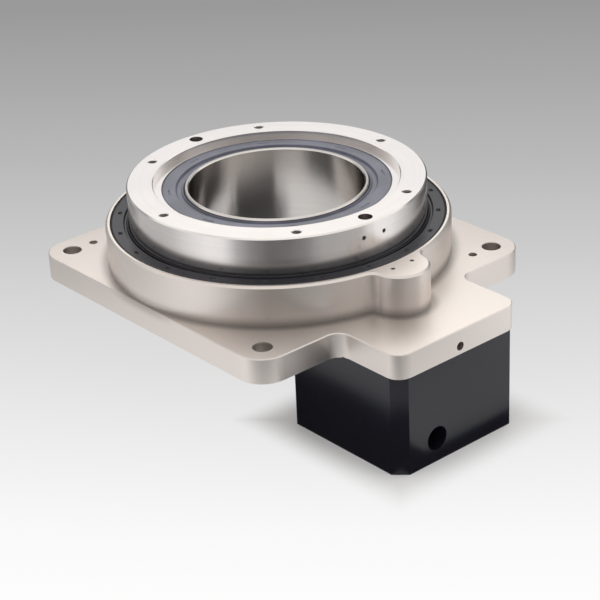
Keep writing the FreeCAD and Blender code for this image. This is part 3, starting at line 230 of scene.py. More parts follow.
# The floor. Its tone goes from the first stop to the last along one direction, roughly away
# from the camera: a painted fall-off of the light, pale near and grey far off.
FLOOR_GAP = 0.1 * MM             # between the block and the floor
FLOOR_AWAY = (-0.7009, 0.7133)   # the direction
FLOOR_NEAR = -0.240              # how far along it the first stop lies, in metres
FLOOR_FAR = 0.680                # and the last
FLOOR_TONES = [
    (0.000, 0.98), (0.063, 0.95), (0.148, 0.865), (0.274, 0.738),
    (0.426, 0.604), (0.596, 0.485), (0.780, 0.397), (1.000, 0.320),
]
FLOOR_TINT = (0.985, 0.985, 1.0)
CONTACT_LIFT = 0.15              # share of the lift that is left at the block's foot

# Upper edges of the two rings of cards, and the tones of the cards and of the high
# softboxes by angle round the axis, in degrees from +X.
NEAR_TOP = 0.10
FAR_TOP = 0.36
NEAR_TONES = [
    (-180, 0.28), (-168, 0.24), (-160, 0.32), (-151, 0.52), (-126, 0.52), (-113, 0.58),
    (-104, 0.74), (-86, 0.98), (-75, 0.94), (-66, 0.44), (-57, 0.22), (-46, 0.13),
    (-34, 0.13), (-24, 0.20), (-14, 0.40), (14, 0.48), (20, 0.88), (27, 1.0), (38, 0.96),
    (50, 0.70), (60, 0.50), (70, 0.28), (80, 0.10), (140, 0.03), (160, 0.10), (180, 0.28),
]
FAR_TONES = [
    (-180, 0.62), (-150, 0.26), (0, 0.16), (36, 0.28), (54, 0.28), (72, 0.12),
    (92, 0.35), (112, 0.92), (135, 1.0), (160, 0.98), (180, 0.62),
]
HIGH_TONES = [
    (-180, 0.85), (-150, 0.62), (-90, 0.40), (-45, 0.32), (-10, 0.32), (30, 0.56),
    (70, 0.66), (97, 0.97), (150, 1.0), (180, 0.85),
]
BLACK_TONES = [(-180, 0.03)]

# Where the black flag is smaller, on the block's bright side, in degrees.
BRIGHT_SIDE = 32.0               # middle of that side
BRIGHT_HALF = 58.0               # half its width
BRIGHT_FADE = 12.0
BRIGHT_REACH = 2 / 3             # share of the flag's reach that it takes away
BRIGHT_HEIGHT = 6 / 7            # and of its height

# The sky, by a direction's height, which is 0 at the horizon and 1 overhead.
SOFTBOX_FADE = (0.40, 0.50)      # from the horizon's light to the softboxes
OVERHEAD_FADE = (0.80, 0.90)     # from the softboxes to the light overhead
SKY_TINT = (1.0, 0.987, 0.96)


# ---------------- shader maths

class Value:
    """One socket of a node tree. Arithmetic on it adds Math nodes to that tree."""

    def __init__(self, tree, socket):
        self.tree = tree
        self.socket = socket

    def math(self, operation, *others):
        """A Math node with this value first."""
        return self.tree.math(operation, self, *others)

    def __add__(self, other):
        return self.math("ADD", other)

    def __sub__(self, other):
        return self.math("SUBTRACT", other)

    def __rsub__(self, other):
        return self.tree.math("SUBTRACT", other, self)

    def __mul__(self, other):
        return self.math("MULTIPLY", other)

    def __truediv__(self, other):
        return self.math("DIVIDE", other)

    def __rtruediv__(self, other):
        return self.tree.math("DIVIDE", other, self)

    __radd__ = __add__
    __rmul__ = __mul__

    def root(self):
        """Square root."""
        return self.math("SQRT")

    def size(self):
        """The value without its sign."""
        return self.math("ABSOLUTE")


class Tree:
    """The nodes of one material or world."""

    def __init__(self, owner):
        owner.use_nodes = True
        self.nodes = owner.node_tree.nodes
        self.links = owner.node_tree.links
        self.nodes.clear()

    def add(self, kind, settings=None, values=None, output=0):
        """Add a node: its settings first, then the values or links of its sockets."""
        node = self.nodes.new(kind)
        for key, setting in (settings or {}).items():
            if key == "stops":
                self.set_stops(node.color_ramp.elements, setting)
            else:
                setattr(node, key, setting)
        for key, value in (values or {}).items():
            if isinstance(value, Value):
                self.links.new(value.socket, node.inputs[key])
            else:
                node.inputs[key].default_value = value
        return Value(self, node.outputs[output]) if node.outputs else None

    @staticmethod
    def set_stops(elements, stops):
        """Give a ramp the grey stops (place, tone), in place of those it starts with."""
        while len(elements) > 1:
            elements.remove(elements[-1])
        for index, (place, tone) in enumerate(stops):
            element = elements[0] if index == 0 else elements.new(place)
            element.position = place
            element.color = (tone, tone, tone, 1)

    def math(self, operation, *values):
        """A Math node on plain numbers and sockets."""
        return self.add("ShaderNodeMath", {"operation": operation}, dict(enumerate(values)))

    def split(self, vector):
        """The X, Y and Z of a vector."""
        node = self.add("ShaderNodeSeparateXYZ", None, {0: vector}).socket.node
        return tuple(Value(self, output) for output in node.outputs)

    def place(self):
        """Object coordinates: the point, and its X, Y and Z."""
        point = self.add("ShaderNodeTexCoord", output="Object")
        return (point, *self.split(point))

    def turn_tone(self, x, y, tones):
        """Tone by angle round the axis, from (degrees, tone) stops that go round from -180."""
        turn = y.math("ARCTAN2", x)
        stops = [((degrees + 180) / 360, float(tone)) for degrees, tone in tones]
        return self.add("ShaderNodeValToRGB", {"stops": stops}, {0: turn / (2 * math.pi) + 0.5})

    def noise(self, point, scale, detail=2.0, rough=0.5):
        """Cloudy noise, 0 to 1, with scale in cells to the metre."""
        return self.add("ShaderNodeTexNoise", None,
                        {"Vector": point, "Scale": scale, "Detail": detail, "Roughness": rough})

    def rings(self, along, pitch, detail=1.0):
        """Noise that changes only along one length, as a tool's marks do."""
        return self.add("ShaderNodeTexNoise", {"noise_dimensions": "1D"},
                        {"W": along / pitch, "Scale": 1.0, "Detail": detail, "Roughness": 0.6})

    def between(self, value, low, high, to_low=0.0, to_high=1.0):
        """Smooth step of value from low to high."""
        return self.add("ShaderNodeMapRange", {"interpolation_type": "SMOOTHSTEP", "clamp": True},
                        {"Value": value, "From Min": low, "From Max": high,
                         "To Min": to_low, "To Max": to_high})

    def mix(self, factor, first, second, blend="MIX"):
        """Blend of two colours, each a socket or three plain numbers."""
        wide = [c if isinstance(c, Value) else (*c, 1.0) for c in (first, second)]
        return self.add("ShaderNodeMix", {"data_type": "RGBA", "blend_type": blend},
                        {0: factor, 6: wide[0], 7: wide[1]}, 2)

    def bump(self, height, distance, strength, under=None):
        """Normal tilted by a height in metres, over another bump if there is one."""
        values = {"Height": height, "Distance": distance, "Strength": strength}
        if under is not None:
            values["Normal"] = under
        return self.add("ShaderNodeBump", None, values)

    def finish(self, shader):
        """Wire a shader to the material's output."""
        self.add("ShaderNodeOutputMaterial", None, {"Surface": shader})

    def surface(self, **sockets):
        """Principled shader, wired to the output. Names take their words from underscores."""
        values = {key.replace("_", " "): value for key, value in sockets.items()}
        self.finish(self.add("ShaderNodeBsdfPrincipled", None, values))


def new_material(name):
    """A material under its finish's name, and its empty node tree."""
    material = bpy.data.materials.new(name)
    return material, Tree(material)


def diagonal(a, b):
    """How far off a place is that lies a one way and b square to it."""
    return (a * a + b * b).root()


def tint(shade, factor):
    """A colour made lighter or darker, as a plain tuple."""
    return tuple(min(1.0, channel * factor) for channel in shade)


def give(slot, make, *values, **options):
    """Make a slot's finish and put it on every solid with that slot. Raises an error if there
    is none."""
    found = [name for name in frame["nodes"] if SLOTS[name] == slot]
    if not found:
        raise RuntimeError("no part has the slot " + slot)
    material = make(slot, *values, **options)
    for name in found:
        for holder in frame["nodes"][name].material_slots:
            holder.material = material


def body_of(node):
    """The body that a solid belongs to."""
    bodies = frame["record"]["behaviour"]["bodies"]
    return next(body for body, nodes in bodies.items() if node in nodes)


def mount(name):
    """A mount of the record: its point, its axis, and its sizes in metres and counts."""
    found = next(m for m in frame["record"]["mounts"] if m["name"] == name)
    sizes = {key.removesuffix("_mm"): value * MM if key.endswith("_mm") else value
             for key, value in found["dims"].items()}
    return np.array(found["pos_m"], float), np.array(found["axis"], float), sizes


# ---------------- surfaces

def mesh_object(name, points, faces, material):
    """An object at the origin, from points in metres and four-cornered faces."""
    mesh = bpy.data.meshes.new(name)
    mesh.from_pydata(points.reshape(-1, 3), [], faces.reshape(-1, 4))
    mesh.materials.append(material)
    made = bpy.data.objects.new(name, mesh)
    bpy.context.collection.objects.link(made)
    return made


def add_piece(name, points, faces, material, body):
    """A smooth piece of the platform, riding on a body."""
    piece = mesh_object(name, points, faces, material)
    piece.data.polygons.foreach_set("use_smooth", np.ones(len(piece.data.polygons), bool))
    piece.data.update()
    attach(piece, body)
    return piece


def grid_faces(rows, columns, close_rows=True, close_columns=True):
    """Faces of a grid of points. Point (i, j) has number i * columns + j, and a face joins it to
    its neighbours at i + 1 and j + 1, round the end where that side is closed."""
    i = np.arange(rows if close_rows else rows - 1)[:, None]
    j = np.arange(columns if close_columns else columns - 1)[None, :]
    after_i = (i + 1) % rows
    after_j = (j + 1) % columns
    corners = (i * columns + j, after_i * columns + j,
               after_i * columns + after_j, i * columns + after_j)
    return np.stack(np.broadcast_arrays(*corners), axis=-1)


def rounded_section(corners, rounding, face_edge, face_points, steps=4):
    """Closed outline with rounded corners, as (radius, height) points.

    At a corner C, A and B lie the rounding length from C on its two edges, or 2/5 of the shorter
    edge if that is less. The curve between them is (1-u)^2 A + 2u(1-u) C + u^2 B. A point close
    before A and after B, by 1/5 of that length, keeps the flats flat. face_points more points
    stand evenly along the edge numbered face_edge."""
    corners = np.asarray(corners, float)
    before = np.roll(corners, 1, axis=0) - corners
    after = np.roll(corners, -1, axis=0) - corners
    reach_before = np.linalg.norm(before, axis=1, keepdims=True)
    reach_after = np.linalg.norm(after, axis=1, keepdims=True)
    cut = np.minimum(rounding, 0.4 * np.minimum(reach_before, reach_after))
    a = corners + before / reach_before * cut
    b = corners + after / reach_after * cut
    u = np.linspace(0.0, 1.0, steps)[None, :, None]
    curve = (1 - u) ** 2 * a[:, None] + 2 * u * (1 - u) * corners[:, None] + u ** 2 * b[:, None]
    lead = a[:, None] + (before / reach_before * cut * 0.2)[:, None]
    trail = b[:, None] + (after / reach_after * cut * 0.2)[:, None]
    rounds = np.concatenate([lead, curve, trail], axis=1)
    along = np.linspace(0.0, 1.0, face_points + 2)[1:-1, None]
    start, end = rounds[face_edge][-1], rounds[face_edge + 1][0]
    face = start + (end - start) * along
    return np.concatenate([rounds[:face_edge + 1].reshape(-1, 2), face,
                           rounds[face_edge + 1:].reshape(-1, 2)])


def sector_angles(count, fine_half, fine, coarse):
    """Angles once round in count equal sectors: fine steps within fine_half of each sector's
    middle, and coarse steps over the rest of it."""
    sector = 2 * math.pi / count
    near = np.linspace(-fine_half, fine_half, fine, endpoint=False)
    far = np.linspace(fine_half, sector - fine_half, coarse, endpoint=False)
    one = np.concatenate([near, far])
    return (np.arange(count)[:, None] * sector + one[None, :]).ravel()


def window(distance, half, wall):
    """1 inside half, 0 outside, with a smooth wall between: 3t^2 - 2t^3 of the clipped rise t."""
    t = np.clip((half - np.abs(distance)) / wall + 0.5, 0.0, 1.0)
    return t * t * (3 - 2 * t)


class Pockets(NamedTuple):
    """Pockets moulded into a seal's face: how many, their distance from the axis, their length
    round the seal, their width across it, their depth and the width of their sloping walls.
    The first lies at an angle, and fine and coarse steps divide the seal there and between."""
    count: int
    radius: float
    along: float
    across: float
    depth: float
    wall: float
    first: float
    fine_half: float
    fine: int
    coarse: int


def turned_seal(section, face_z, pockets):
    """Points of a seal turned from a section, with pockets sunk into its flat face.

    The point at angle t and section point (r, z) is (r cos t, r sin t, z - d), then turned by the
    first pocket's angle. On the face at face_z, d is the pockets' depth times the window of
    r - their radius, times the window of r times the angle to the nearest pocket."""
    r = section[:, 0][None, :]
    z = section[:, 1][None, :]
    t = sector_angles(pockets.count, pockets.fine_half, pockets.fine, pockets.coarse)[:, None]
    sector = 2 * math.pi / pockets.count
    offset = (t + sector / 2) % sector - sector / 2
    sink = (pockets.depth * window(r - pockets.radius, pockets.across / 2, pockets.wall)
            * window(r * offset, pockets.along / 2, pockets.wall))
    sink = np.where(np.abs(z - face_z) < 0.001 * MM, sink, 0.0)
    x, y = r * np.cos(t), r * np.sin(t)
    c, s = math.cos(pockets.first), math.sin(pockets.first)
    return np.stack([x * c - y * s, x * s + y * c, z - sink], axis=-1)


def frame_of(axis):
    """Two unit vectors square to an axis and to each other."""
    helper = np.array([0.0, 0.0, 1.0]) if abs(axis[2]) < 0.9 else np.array([1.0, 0.0, 0.0])
    across = np.cross(helper, axis)
    across /= np.linalg.norm(across)
    return across, np.cross(axis, across)


def thread_points(mouth, axis, radius, depth, pitch, crest, per_turn):
    """Points of one tapped hole's thread: a four-point ridge carried along a helix.

    At angle t the ridge's middle is pitch * t / 2 pi below the mouth. Two of its points stand
    in the wall, and two stand h inside it, where h rises from nothing over the first three
    quarters of a turn and falls to nothing over the last."""
    turns = depth / pitch
    t = np.linspace(0.0, 2 * math.pi * turns, int(turns * per_turn) + 1)
    ends = np.clip(np.minimum(t, t[-1] - t) / RUN_OUT, 0.0, 1.0)
    h = crest * pitch * ends * (2 - ends)
    down = pitch * t / (2 * math.pi)
    inner = radius - h
    outer = np.full_like(t, radius + RIDGE_SUNK)
    spread = pitch * np.array([RIDGE_FOOT, RIDGE_TIP, -RIDGE_TIP, -RIDGE_FOOT])
    rho = np.stack([outer, inner, inner, outer], axis=-1)
    narrow = NARROWEST + (1 - NARROWEST) * ends[:, None]
    depth_at = np.clip(down[:, None] + spread[None, :] * narrow, 0.0, None)
    across, up = frame_of(axis)
    ring = rho[..., None] * (np.cos(t)[:, None, None] * across + np.sin(t)[:, None, None] * up)
    return mouth + ring - depth_at[..., None] * axis


def thread_mesh(holes, pitch, crest, per_turn):
    """Points and faces of threads in like holes, each given as mouth, axis, radius and depth."""
    every_point = []
    every_face = []
    count = 0
    for hole in holes:
        points = thread_points(*hole, pitch, crest, per_turn)
        rows, columns = points.shape[:2]
        faces = grid_faces(rows, columns, close_rows=False).reshape(-1, 4)
        ends = np.array([range(columns), range(rows * columns - 1, (rows - 1) * columns - 1, -1)])
        every_point.append(points.reshape(-1, 3))
        every_face.append(np.concatenate([faces, ends]) + count)
        count += rows * columns
    return np.concatenate(every_point), np.concatenate(every_face)


def circle_holes(name, first_degrees, inset, depth):
    """The holes of a bolt circle in the record, the first at an angle, each with its thread
    starting inset below its mouth."""
    point, axis, sizes = mount(name)
    t = math.radians(first_degrees) + 2 * math.pi * np.arange(sizes["count"]) / sizes["count"]
    mouths = point + sizes["pcd"] / 2 * np.stack([np.cos(t), np.sin(t), 0 * t], axis=-1)
    return [(mouth - axis * inset, axis, sizes["hole_r"], depth) for mouth in mouths]


# ---------------- finishes

class FootShade(NamedTuple):
    """Painted shade at the foot of a turned wall, for the seal's dark reflection and the shade by
    it: the wall's radius, the heights at which the shade is full and at which it ends, and its
    strength."""
    wall_r: float
    full: float
    end: float
    strength: float


def turned_metal(name, shade, rough, spread, pitch, edge=1.0, film=None):
    """Metal turned in a lathe: fine marks round the axis, which spread a reflection across them,
    and painted shade at the wall's foot if there is one. edge is how much of the mirror stays at
    a grazing angle."""
    material, tree = new_material(name)
    point, x, y, z = tree.place()
    radius = diagonal(x, y)
    along = radius + z
    fine = tree.rings(along, pitch)
    broad = tree.rings(along, pitch * 14, 2.0)
    cloud = tree.noise(point, 38.0, 3.0)
    base = tree.mix(cloud, tint(shade, 0.95), tint(shade, 1.03))
    base = tree.mix(tree.between(broad, 0.35, 0.75, 0.0, 0.35), base, tint(shade, 0.92))
    if film:
        # Painted shade: the wall darkens towards its foot by the seal.
        foot = (tree.between(z, film.full, film.end, film.strength, 0.0)
                * tree.between(radius, film.wall_r - 1.0 * MM, film.wall_r))
        base = tree.mix(foot, base, tint(shade, 0.18))
    roughness = rough + (fine - 0.5) * 0.10 + (cloud - 0.5) * 0.06
    tree.surface(Base_Color=base, Metallic=1.0, Roughness=roughness,
                 Normal=tree.bump(fine, 0.0025 * MM, 0.5), Specular_Tint=(edge, edge, edge, 1.0),
                 Anisotropic=spread, Anisotropic_Rotation=0.25)
    return material


class Housing(NamedTuple):
    """Sizes of the base housing that its finish follows: the round wall, the plate's top, and
    the places and radii of the lobe and the bolt holes."""
    wall_r: float
    plate_z: float
    lobe_x: float
    lobe_r: float
    bolt_x: float
    bolt_y: float
    bolt_r: float


def satin_nickel(name, shade, rough, form, corner_shade, hole_shade):
    """Blasted and nickel plated aluminium: fine even grain, turned marks on the round wall,
    faint handling marks on the flats, and painted shade in the corner at the wall's foot and
    down the bolt holes."""
    material, tree = new_material(name)
    point, x, y, z = tree.place()
    grain = tree.noise(point, 5200.0, 2.0, 0.6)
    cloud = tree.noise(point, 24.0, 4.0, 0.55)
    off_wall = diagonal(x, y) - form.wall_r
    on_wall = tree.between(off_wall.size(), 0.6 * MM, 0.2 * MM)
    lines = tree.rings(z, 0.35 * MM, 2.0)
    marks = tree.between(tree.noise(point, 210.0, 5.0, 0.72), 0.60, 0.74)
    patch = tree.between(tree.noise(point, 17.0, 2.0), 0.50, 0.66)
    handled = marks * patch
    base = tree.mix(cloud, tint(shade, 0.955), tint(shade, 1.03))
    base = tree.mix(handled * 0.55, base, tint(shade, 0.70))
    base = tree.mix(on_wall * lines * 0.18, base, tint(shade, 0.78))
    off_lobe = diagonal(x - form.lobe_x, y) - form.lobe_r
    corner = diagonal(off_wall.math("MINIMUM", off_lobe), z - form.plate_z)
    off_bolt = diagonal(x.size() - form.bolt_x, y.size() - form.bolt_y)
    # Painted shade down the bolt holes, just under the plate's top.
    in_bolt = (tree.between(off_bolt, form.bolt_r + 0.4 * MM, form.bolt_r + 0.2 * MM)
               * tree.between(z, form.plate_z - 0.3 * MM, form.plate_z - 1.2 * MM))
    # Painted shade and dark reflection, darker towards the corner at the foot of the round wall
    # and the lobe.
    painted_corner_shade = tree.between(corner, CORNER_SHADE_START, CORNER_SHADE_FULL, 0.0, corner_shade)
    base = tree.mix(painted_corner_shade.math("MAXIMUM", in_bolt * hole_shade), base, tint(shade, 0.16))
    roughness = rough + (cloud - 0.5) * 0.08 + (grain - 0.5) * 0.06 + handled * 0.06
    turned = tree.bump(lines * on_wall, 0.004 * MM, 0.5)
    tree.surface(Base_Color=base, Metallic=0.96, Roughness=roughness,
                 Normal=tree.bump(grain, 0.006 * MM, 0.35, turned))
    return material


def ground_steel(name, shade, rough):
    """Hardened steel, ground round the platform's axis."""
    material, tree = new_material(name)
    point, x, y, z = tree.place()
    fine = tree.rings(diagonal(x, y) + z, 0.09 * MM, 2.0)
    cloud = tree.noise(point, 55.0, 3.0)
    base = tree.mix(cloud, tint(shade, 0.94), tint(shade, 1.05))
    roughness = rough + (fine - 0.5) * 0.10 + (cloud - 0.5) * 0.05
    tree.surface(Base_Color=base, Metallic=1.0, Roughness=roughness,
                 Normal=tree.bump(fine, 0.0015 * MM, 0.5))
    return material


def machined_gear_steel(name, shade):
    """Cut and hardened steel, with a thin film of oil and darker heat tint in patches."""
    material, tree = new_material(name)
    point, _, _, z = tree.place()
    cuts = tree.rings(z, 0.28 * MM, 2.0)
    cloud = tree.noise(point, 70.0, 4.0)
    base = tree.mix(tree.between(cloud, 0.35, 0.7), shade, tint(shade, 0.72))
    roughness = 0.32 + (cuts - 0.5) * 0.14 + cloud * 0.08
    tree.surface(Base_Color=base, Metallic=1.0, Roughness=roughness,
                 Normal=tree.bump(cuts, 0.004 * MM, 0.6), Coat_Weight=0.25, Coat_Roughness=0.12)
    return material


def black_oxide(name, shade, rough, bright):
    """Oxide-blacked steel: dark, dry and faintly mottled, with bare steel in tiny specks. bright
    is how far the specks show."""
    material, tree = new_material(name)
    point = tree.place()[0]
    mottle = tree.noise(point, 420.0, 4.0, 0.65)
    specks = tree.between(tree.noise(point, 2600.0, 2.0), 0.70, 0.80)
    base = tree.mix(mottle, tint(shade, 0.75), tint(shade, 1.5))
    base = tree.mix(specks * bright, base, BARE_STEEL)
    roughness = rough + (mottle - 0.5) * 0.16
    tree.surface(Base_Color=base, Metallic=0.85, Roughness=roughness,
                 Normal=tree.bump(mottle, 0.008 * MM, 0.4))
    return material


def cage_brass(name, shade):
    """Drawn brass with faint tarnish."""
    material, tree = new_material(name)
    point, _, _, z = tree.place()
    drawn = tree.rings(z, 0.12 * MM, 2.0)
    tarnish = tree.noise(point, 90.0, 4.0, 0.6)
    base = tree.mix(tarnish, shade, tint(shade, 0.62))
    tree.surface(Base_Color=base, Metallic=1.0, Roughness=0.28 + tarnish * 0.12,
                 Normal=tree.bump(drawn, 0.002 * MM, 0.5))
    return material


def anodised_black(name, shade, rough, gloss):
    """Black anodised aluminium: faint lines of the milling cutter under an even satin skin."""
    material, tree = new_material(name)
    point, _, _, z = tree.place()
    lines = tree.rings(z, 0.45 * MM, 3.0)
    pores = tree.noise(point, 6000.0, 2.0, 0.6)
    cloud = tree.noise(point, 30.0, 3.0)
    base = tree.mix(cloud, tint(shade, 0.85), tint(shade, 1.2))
    base = tree.mix(tree.between(lines, 0.45, 0.8) * 0.35, base, tint(shade, 1.9))
    roughness = rough + (lines - 0.5) * 0.10 + (cloud - 0.5) * 0.05
    milled = tree.bump(lines, 0.005 * MM, 0.35)
    tree.surface(Base_Color=base, Metallic=0.0, Roughness=roughness, IOR=1.45,
                 Specular_IOR_Level=gloss, Normal=tree.bump(pores, 0.004 * MM, 0.25, milled))
    return material


def moulded_rubber(name, shade, rough, gloss):
    """Nitrile rubber: smooth from the mould, bluish black, with a little bloom and dust."""
    material, tree = new_material(name)
    point, x, y, _ = tree.place()
    skin = tree.noise(point, 3800.0, 3.0, 0.6)
    bloom = tree.noise(point, 42.0, 4.0, 0.6)
    flow = tree.rings(diagonal(x, y), 0.6 * MM, 2.0)
    base = tree.mix(tree.between(bloom, 0.3, 0.75), tint(shade, 0.85), tint(shade, 1.35))
    roughness = rough + (bloom - 0.5) * 0.10 + (skin - 0.5) * 0.08 + (flow - 0.5) * 0.06
    tree.surface(Base_Color=base, Metallic=0.0, Roughness=roughness, IOR=1.55,
                 Specular_IOR_Level=gloss, Normal=tree.bump(skin, 0.006 * MM, 0.4))
    return material


# ---------------- operators

class PLATFORM_OT_housing(Operator):
    """Satin nickel on the base housing"""
    bl_idname = "platform.housing"
    bl_label = "Base housing"

    def execute(self, context):
        finish = context.scene.platform_finishes
        bolts = mount("base_bolts")[2]
        form = Housing(
            wall_r=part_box("outer_oil_seal")[1].x + WALL_BEYOND_SEAL,
            plate_z=mount("base_dowel_a")[2]["length"],
            lobe_x=float(mount("motor_pilot")[0][0]),
            lobe_r=LOBE_RADIUS,
            bolt_x=bolts["spacing_x"] / 2,
            bolt_y=bolts["spacing_y"] / 2,
            bolt_r=bolts["hole_r"],
        )
        give("housing_metal", satin_nickel, finish.housing_colour, finish.housing_rough, form,
             finish.corner_shade, finish.hole_shade)
        return {"FINISHED"}


class PLATFORM_OT_table(Operator):
    """Bright turned nickel on the rotary table"""
    bl_idname = "platform.table"
    bl_label = "Rotary table"

    def execute(self, context):
        finish = context.scene.platform_finishes
        seal_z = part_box("outer_oil_seal")[1].z
        # Painted shade at the foot of the table's wall, above the seal.
        film = FootShade(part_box("rotary_table")[1].x - RIM_BEYOND_WALL, seal_z, seal_z + FOOT_SHADE_HEIGHT,
                    finish.table_film)
        give("table_metal", turned_metal, finish.table_colour, finish.table_rough,
             finish.table_spread, finish.turning_pitch, film=film)
        return {"FINISHED"}


class PLATFORM_OT_sleeve(Operator):
    """Turned steel on the hollow sleeve"""
    bl_idname = "platform.sleeve"
    bl_label = "Hollow sleeve"

    def execute(self, context):
        finish = context.scene.platform_finishes
        give("sleeve_metal", turned_metal, finish.sleeve_colour, finish.sleeve_rough,
             finish.sleeve_spread, finish.turning_pitch * 0.8, edge=finish.sleeve_edge)
        return {"FINISHED"}


class PLATFORM_OT_bearings(Operator):
    """Ground steel on the rings and rollers, brass on the cage"""
    bl_idname = "platform.bearings"
    bl_label = "Bearings"

    def execute(self, context):
        finish = context.scene.platform_finishes
        give("bearing_steel", ground_steel, finish.race_colour, finish.race_rough)
        give("cage_brass", cage_brass, finish.brass_colour)
        return {"FINISHED"}


class PLATFORM_OT_gears(Operator):
    """Hardened steel on the ring gear and the pinion shaft"""
    bl_idname = "platform.gears"
    bl_label = "Gears"

    def execute(self, context):
        finish = context.scene.platform_finishes
        give("gear_steel", machined_gear_steel, finish.gear_colour)
        return {"FINISHED"}


class PLATFORM_OT_fasteners(Operator):
    """Black oxide on the screws, the clamp collar, the spacers and the retaining rings"""
    bl_idname = "platform.fasteners"
    bl_label = "Screws and collars"

    def execute(self, context):
        finish = context.scene.platform_finishes
        give("black_screw", black_oxide, finish.oxide_colour, finish.oxide_rough, bright=0.35)
        give("collar_steel", black_oxide, finish.collar_colour, finish.collar_rough, bright=0.20)
        return {"FINISHED"}


class PLATFORM_OT_block(Operator):
    """Black anodising on the motor adapter"""
    bl_idname = "platform.block"
    bl_label = "Motor adapter"

    def execute(self, context):
        finish = context.scene.platform_finishes
        give("black_anodised", anodised_black, finish.block_colour, finish.block_rough,
             finish.block_gloss)
        return {"FINISHED"}


class PLATFORM_OT_seals(Operator):
    """Moulded oil seals between the housing, the table and the sleeve"""
    bl_idname = "platform.seals"
    bl_label = "Oil seals"

    def execute(self, context):
        sizes = context.scene.platform_seals
        finish = context.scene.platform_finishes
        self.outer(sizes, moulded_rubber("outer_seal_rubber", finish.outer_rubber,
                                         finish.outer_rough, finish.outer_gloss))
        self.inner(sizes, moulded_rubber("inner_seal_rubber", finish.inner_rubber,
                                         finish.inner_rough, finish.inner_gloss))
        return {"FINISHED"}

    def outer(self, sizes, rubber):
        """Seal with its lip turned in against the table and dimples round its face."""
        low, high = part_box("outer_oil_seal")
        case, foot, top = high.x, low.z, high.z
        lip = case - OUTER_SEAL_WIDTH
        corners = [
            (case, foot),
            (case, top - 0.9 * MM),
            (case - 0.9 * MM, top - 0.35 * MM),
            (case - 1.35 * MM, top),
            (lip + 2.9 * MM, top),
            (lip + 2.4 * MM, top - 1.5 * MM),
            (lip + 1.3 * MM, top - 1.5 * MM),
            (lip + 0.7 * MM, top - 0.1 * MM),
            (lip, top - 0.6 * MM),
            (lip, top - 1.7 * MM),
            (lip + 0.8 * MM, top - 3.1 * MM),
            (lip + 0.8 * MM, foot + 2.5 * MM),
            (lip + 3.2 * MM, foot + 2.5 * MM),
            (lip + 3.2 * MM, top - 4.3 * MM),
            (case - 3.5 * MM, top - 4.3 * MM),
            (case - 3.5 * MM, foot),
        ]
        dimples = Pockets(sizes.dimple_count, (lip + case) / 2 + 0.4 * MM, sizes.dimple_along,
                          sizes.dimple_across, sizes.dimple_depth, wall=0.25 * MM,
                          first=math.pi / sizes.dimple_count, fine_half=math.radians(1.35),
                          fine=18, coarse=7)
        self.put("oil_seal_outer", corners, sizes.edge_round, top, dimples, rubber,
                 "outer_oil_seal")

    def inner(self, sizes, rubber):
        """Seal with its lip against the sleeve, a stepped face, and short moulded arcs."""
        low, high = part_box("inner_oil_seal")
        case, foot, top = high.x, low.z, high.z
        lip = case - INNER_SEAL_WIDTH
        corners = [
            (case, foot),
            (case, top - 0.6 * MM),
            (case - 0.6 * MM, top - 0.25 * MM),
            (case - 0.95 * MM, top),
            (lip + 4.6 * MM, top),
            (lip + 3.8 * MM, top - 1.6 * MM),
            (lip + 1.4 * MM, top - 1.6 * MM),
            (lip + 0.8 * MM, top - 0.4 * MM),
            (lip, top - 0.8 * MM),
            (lip, top - 2.0 * MM),
            (lip + 0.9 * MM, top - 3.4 * MM),
            (lip + 0.9 * MM, foot + 2.4 * MM),
            (lip + 3.2 * MM, foot + 2.4 * MM),
            (lip + 3.2 * MM, top - 4.6 * MM),
            (case - 3.9 * MM, top - 4.6 * MM),
            (case - 3.9 * MM, foot),
        ]
        arcs = Pockets(sizes.arc_count, lip + 8.3 * MM, sizes.arc_along, sizes.arc_across,
                       sizes.arc_depth, wall=0.2 * MM, first=math.radians(12.0),
                       fine_half=math.radians(4.4), fine=40, coarse=14)
        self.put("oil_seal_inner", corners, sizes.edge_round, top, arcs, rubber,
                 "inner_oil_seal")

    def put(self, name, corners, edge_round, face_z, pockets, rubber, node):
        """Turn a section into a seal on its solid's body and hide the solid. The face is the
        section's fourth edge."""
        section = rounded_section(corners, edge_round, face_edge=3, face_points=26)
        points = turned_seal(section, face_z, pockets)
        piece = add_piece(name, points, grid_faces(*points.shape[:2]), rubber,
                          body_of(node))
        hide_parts(node)


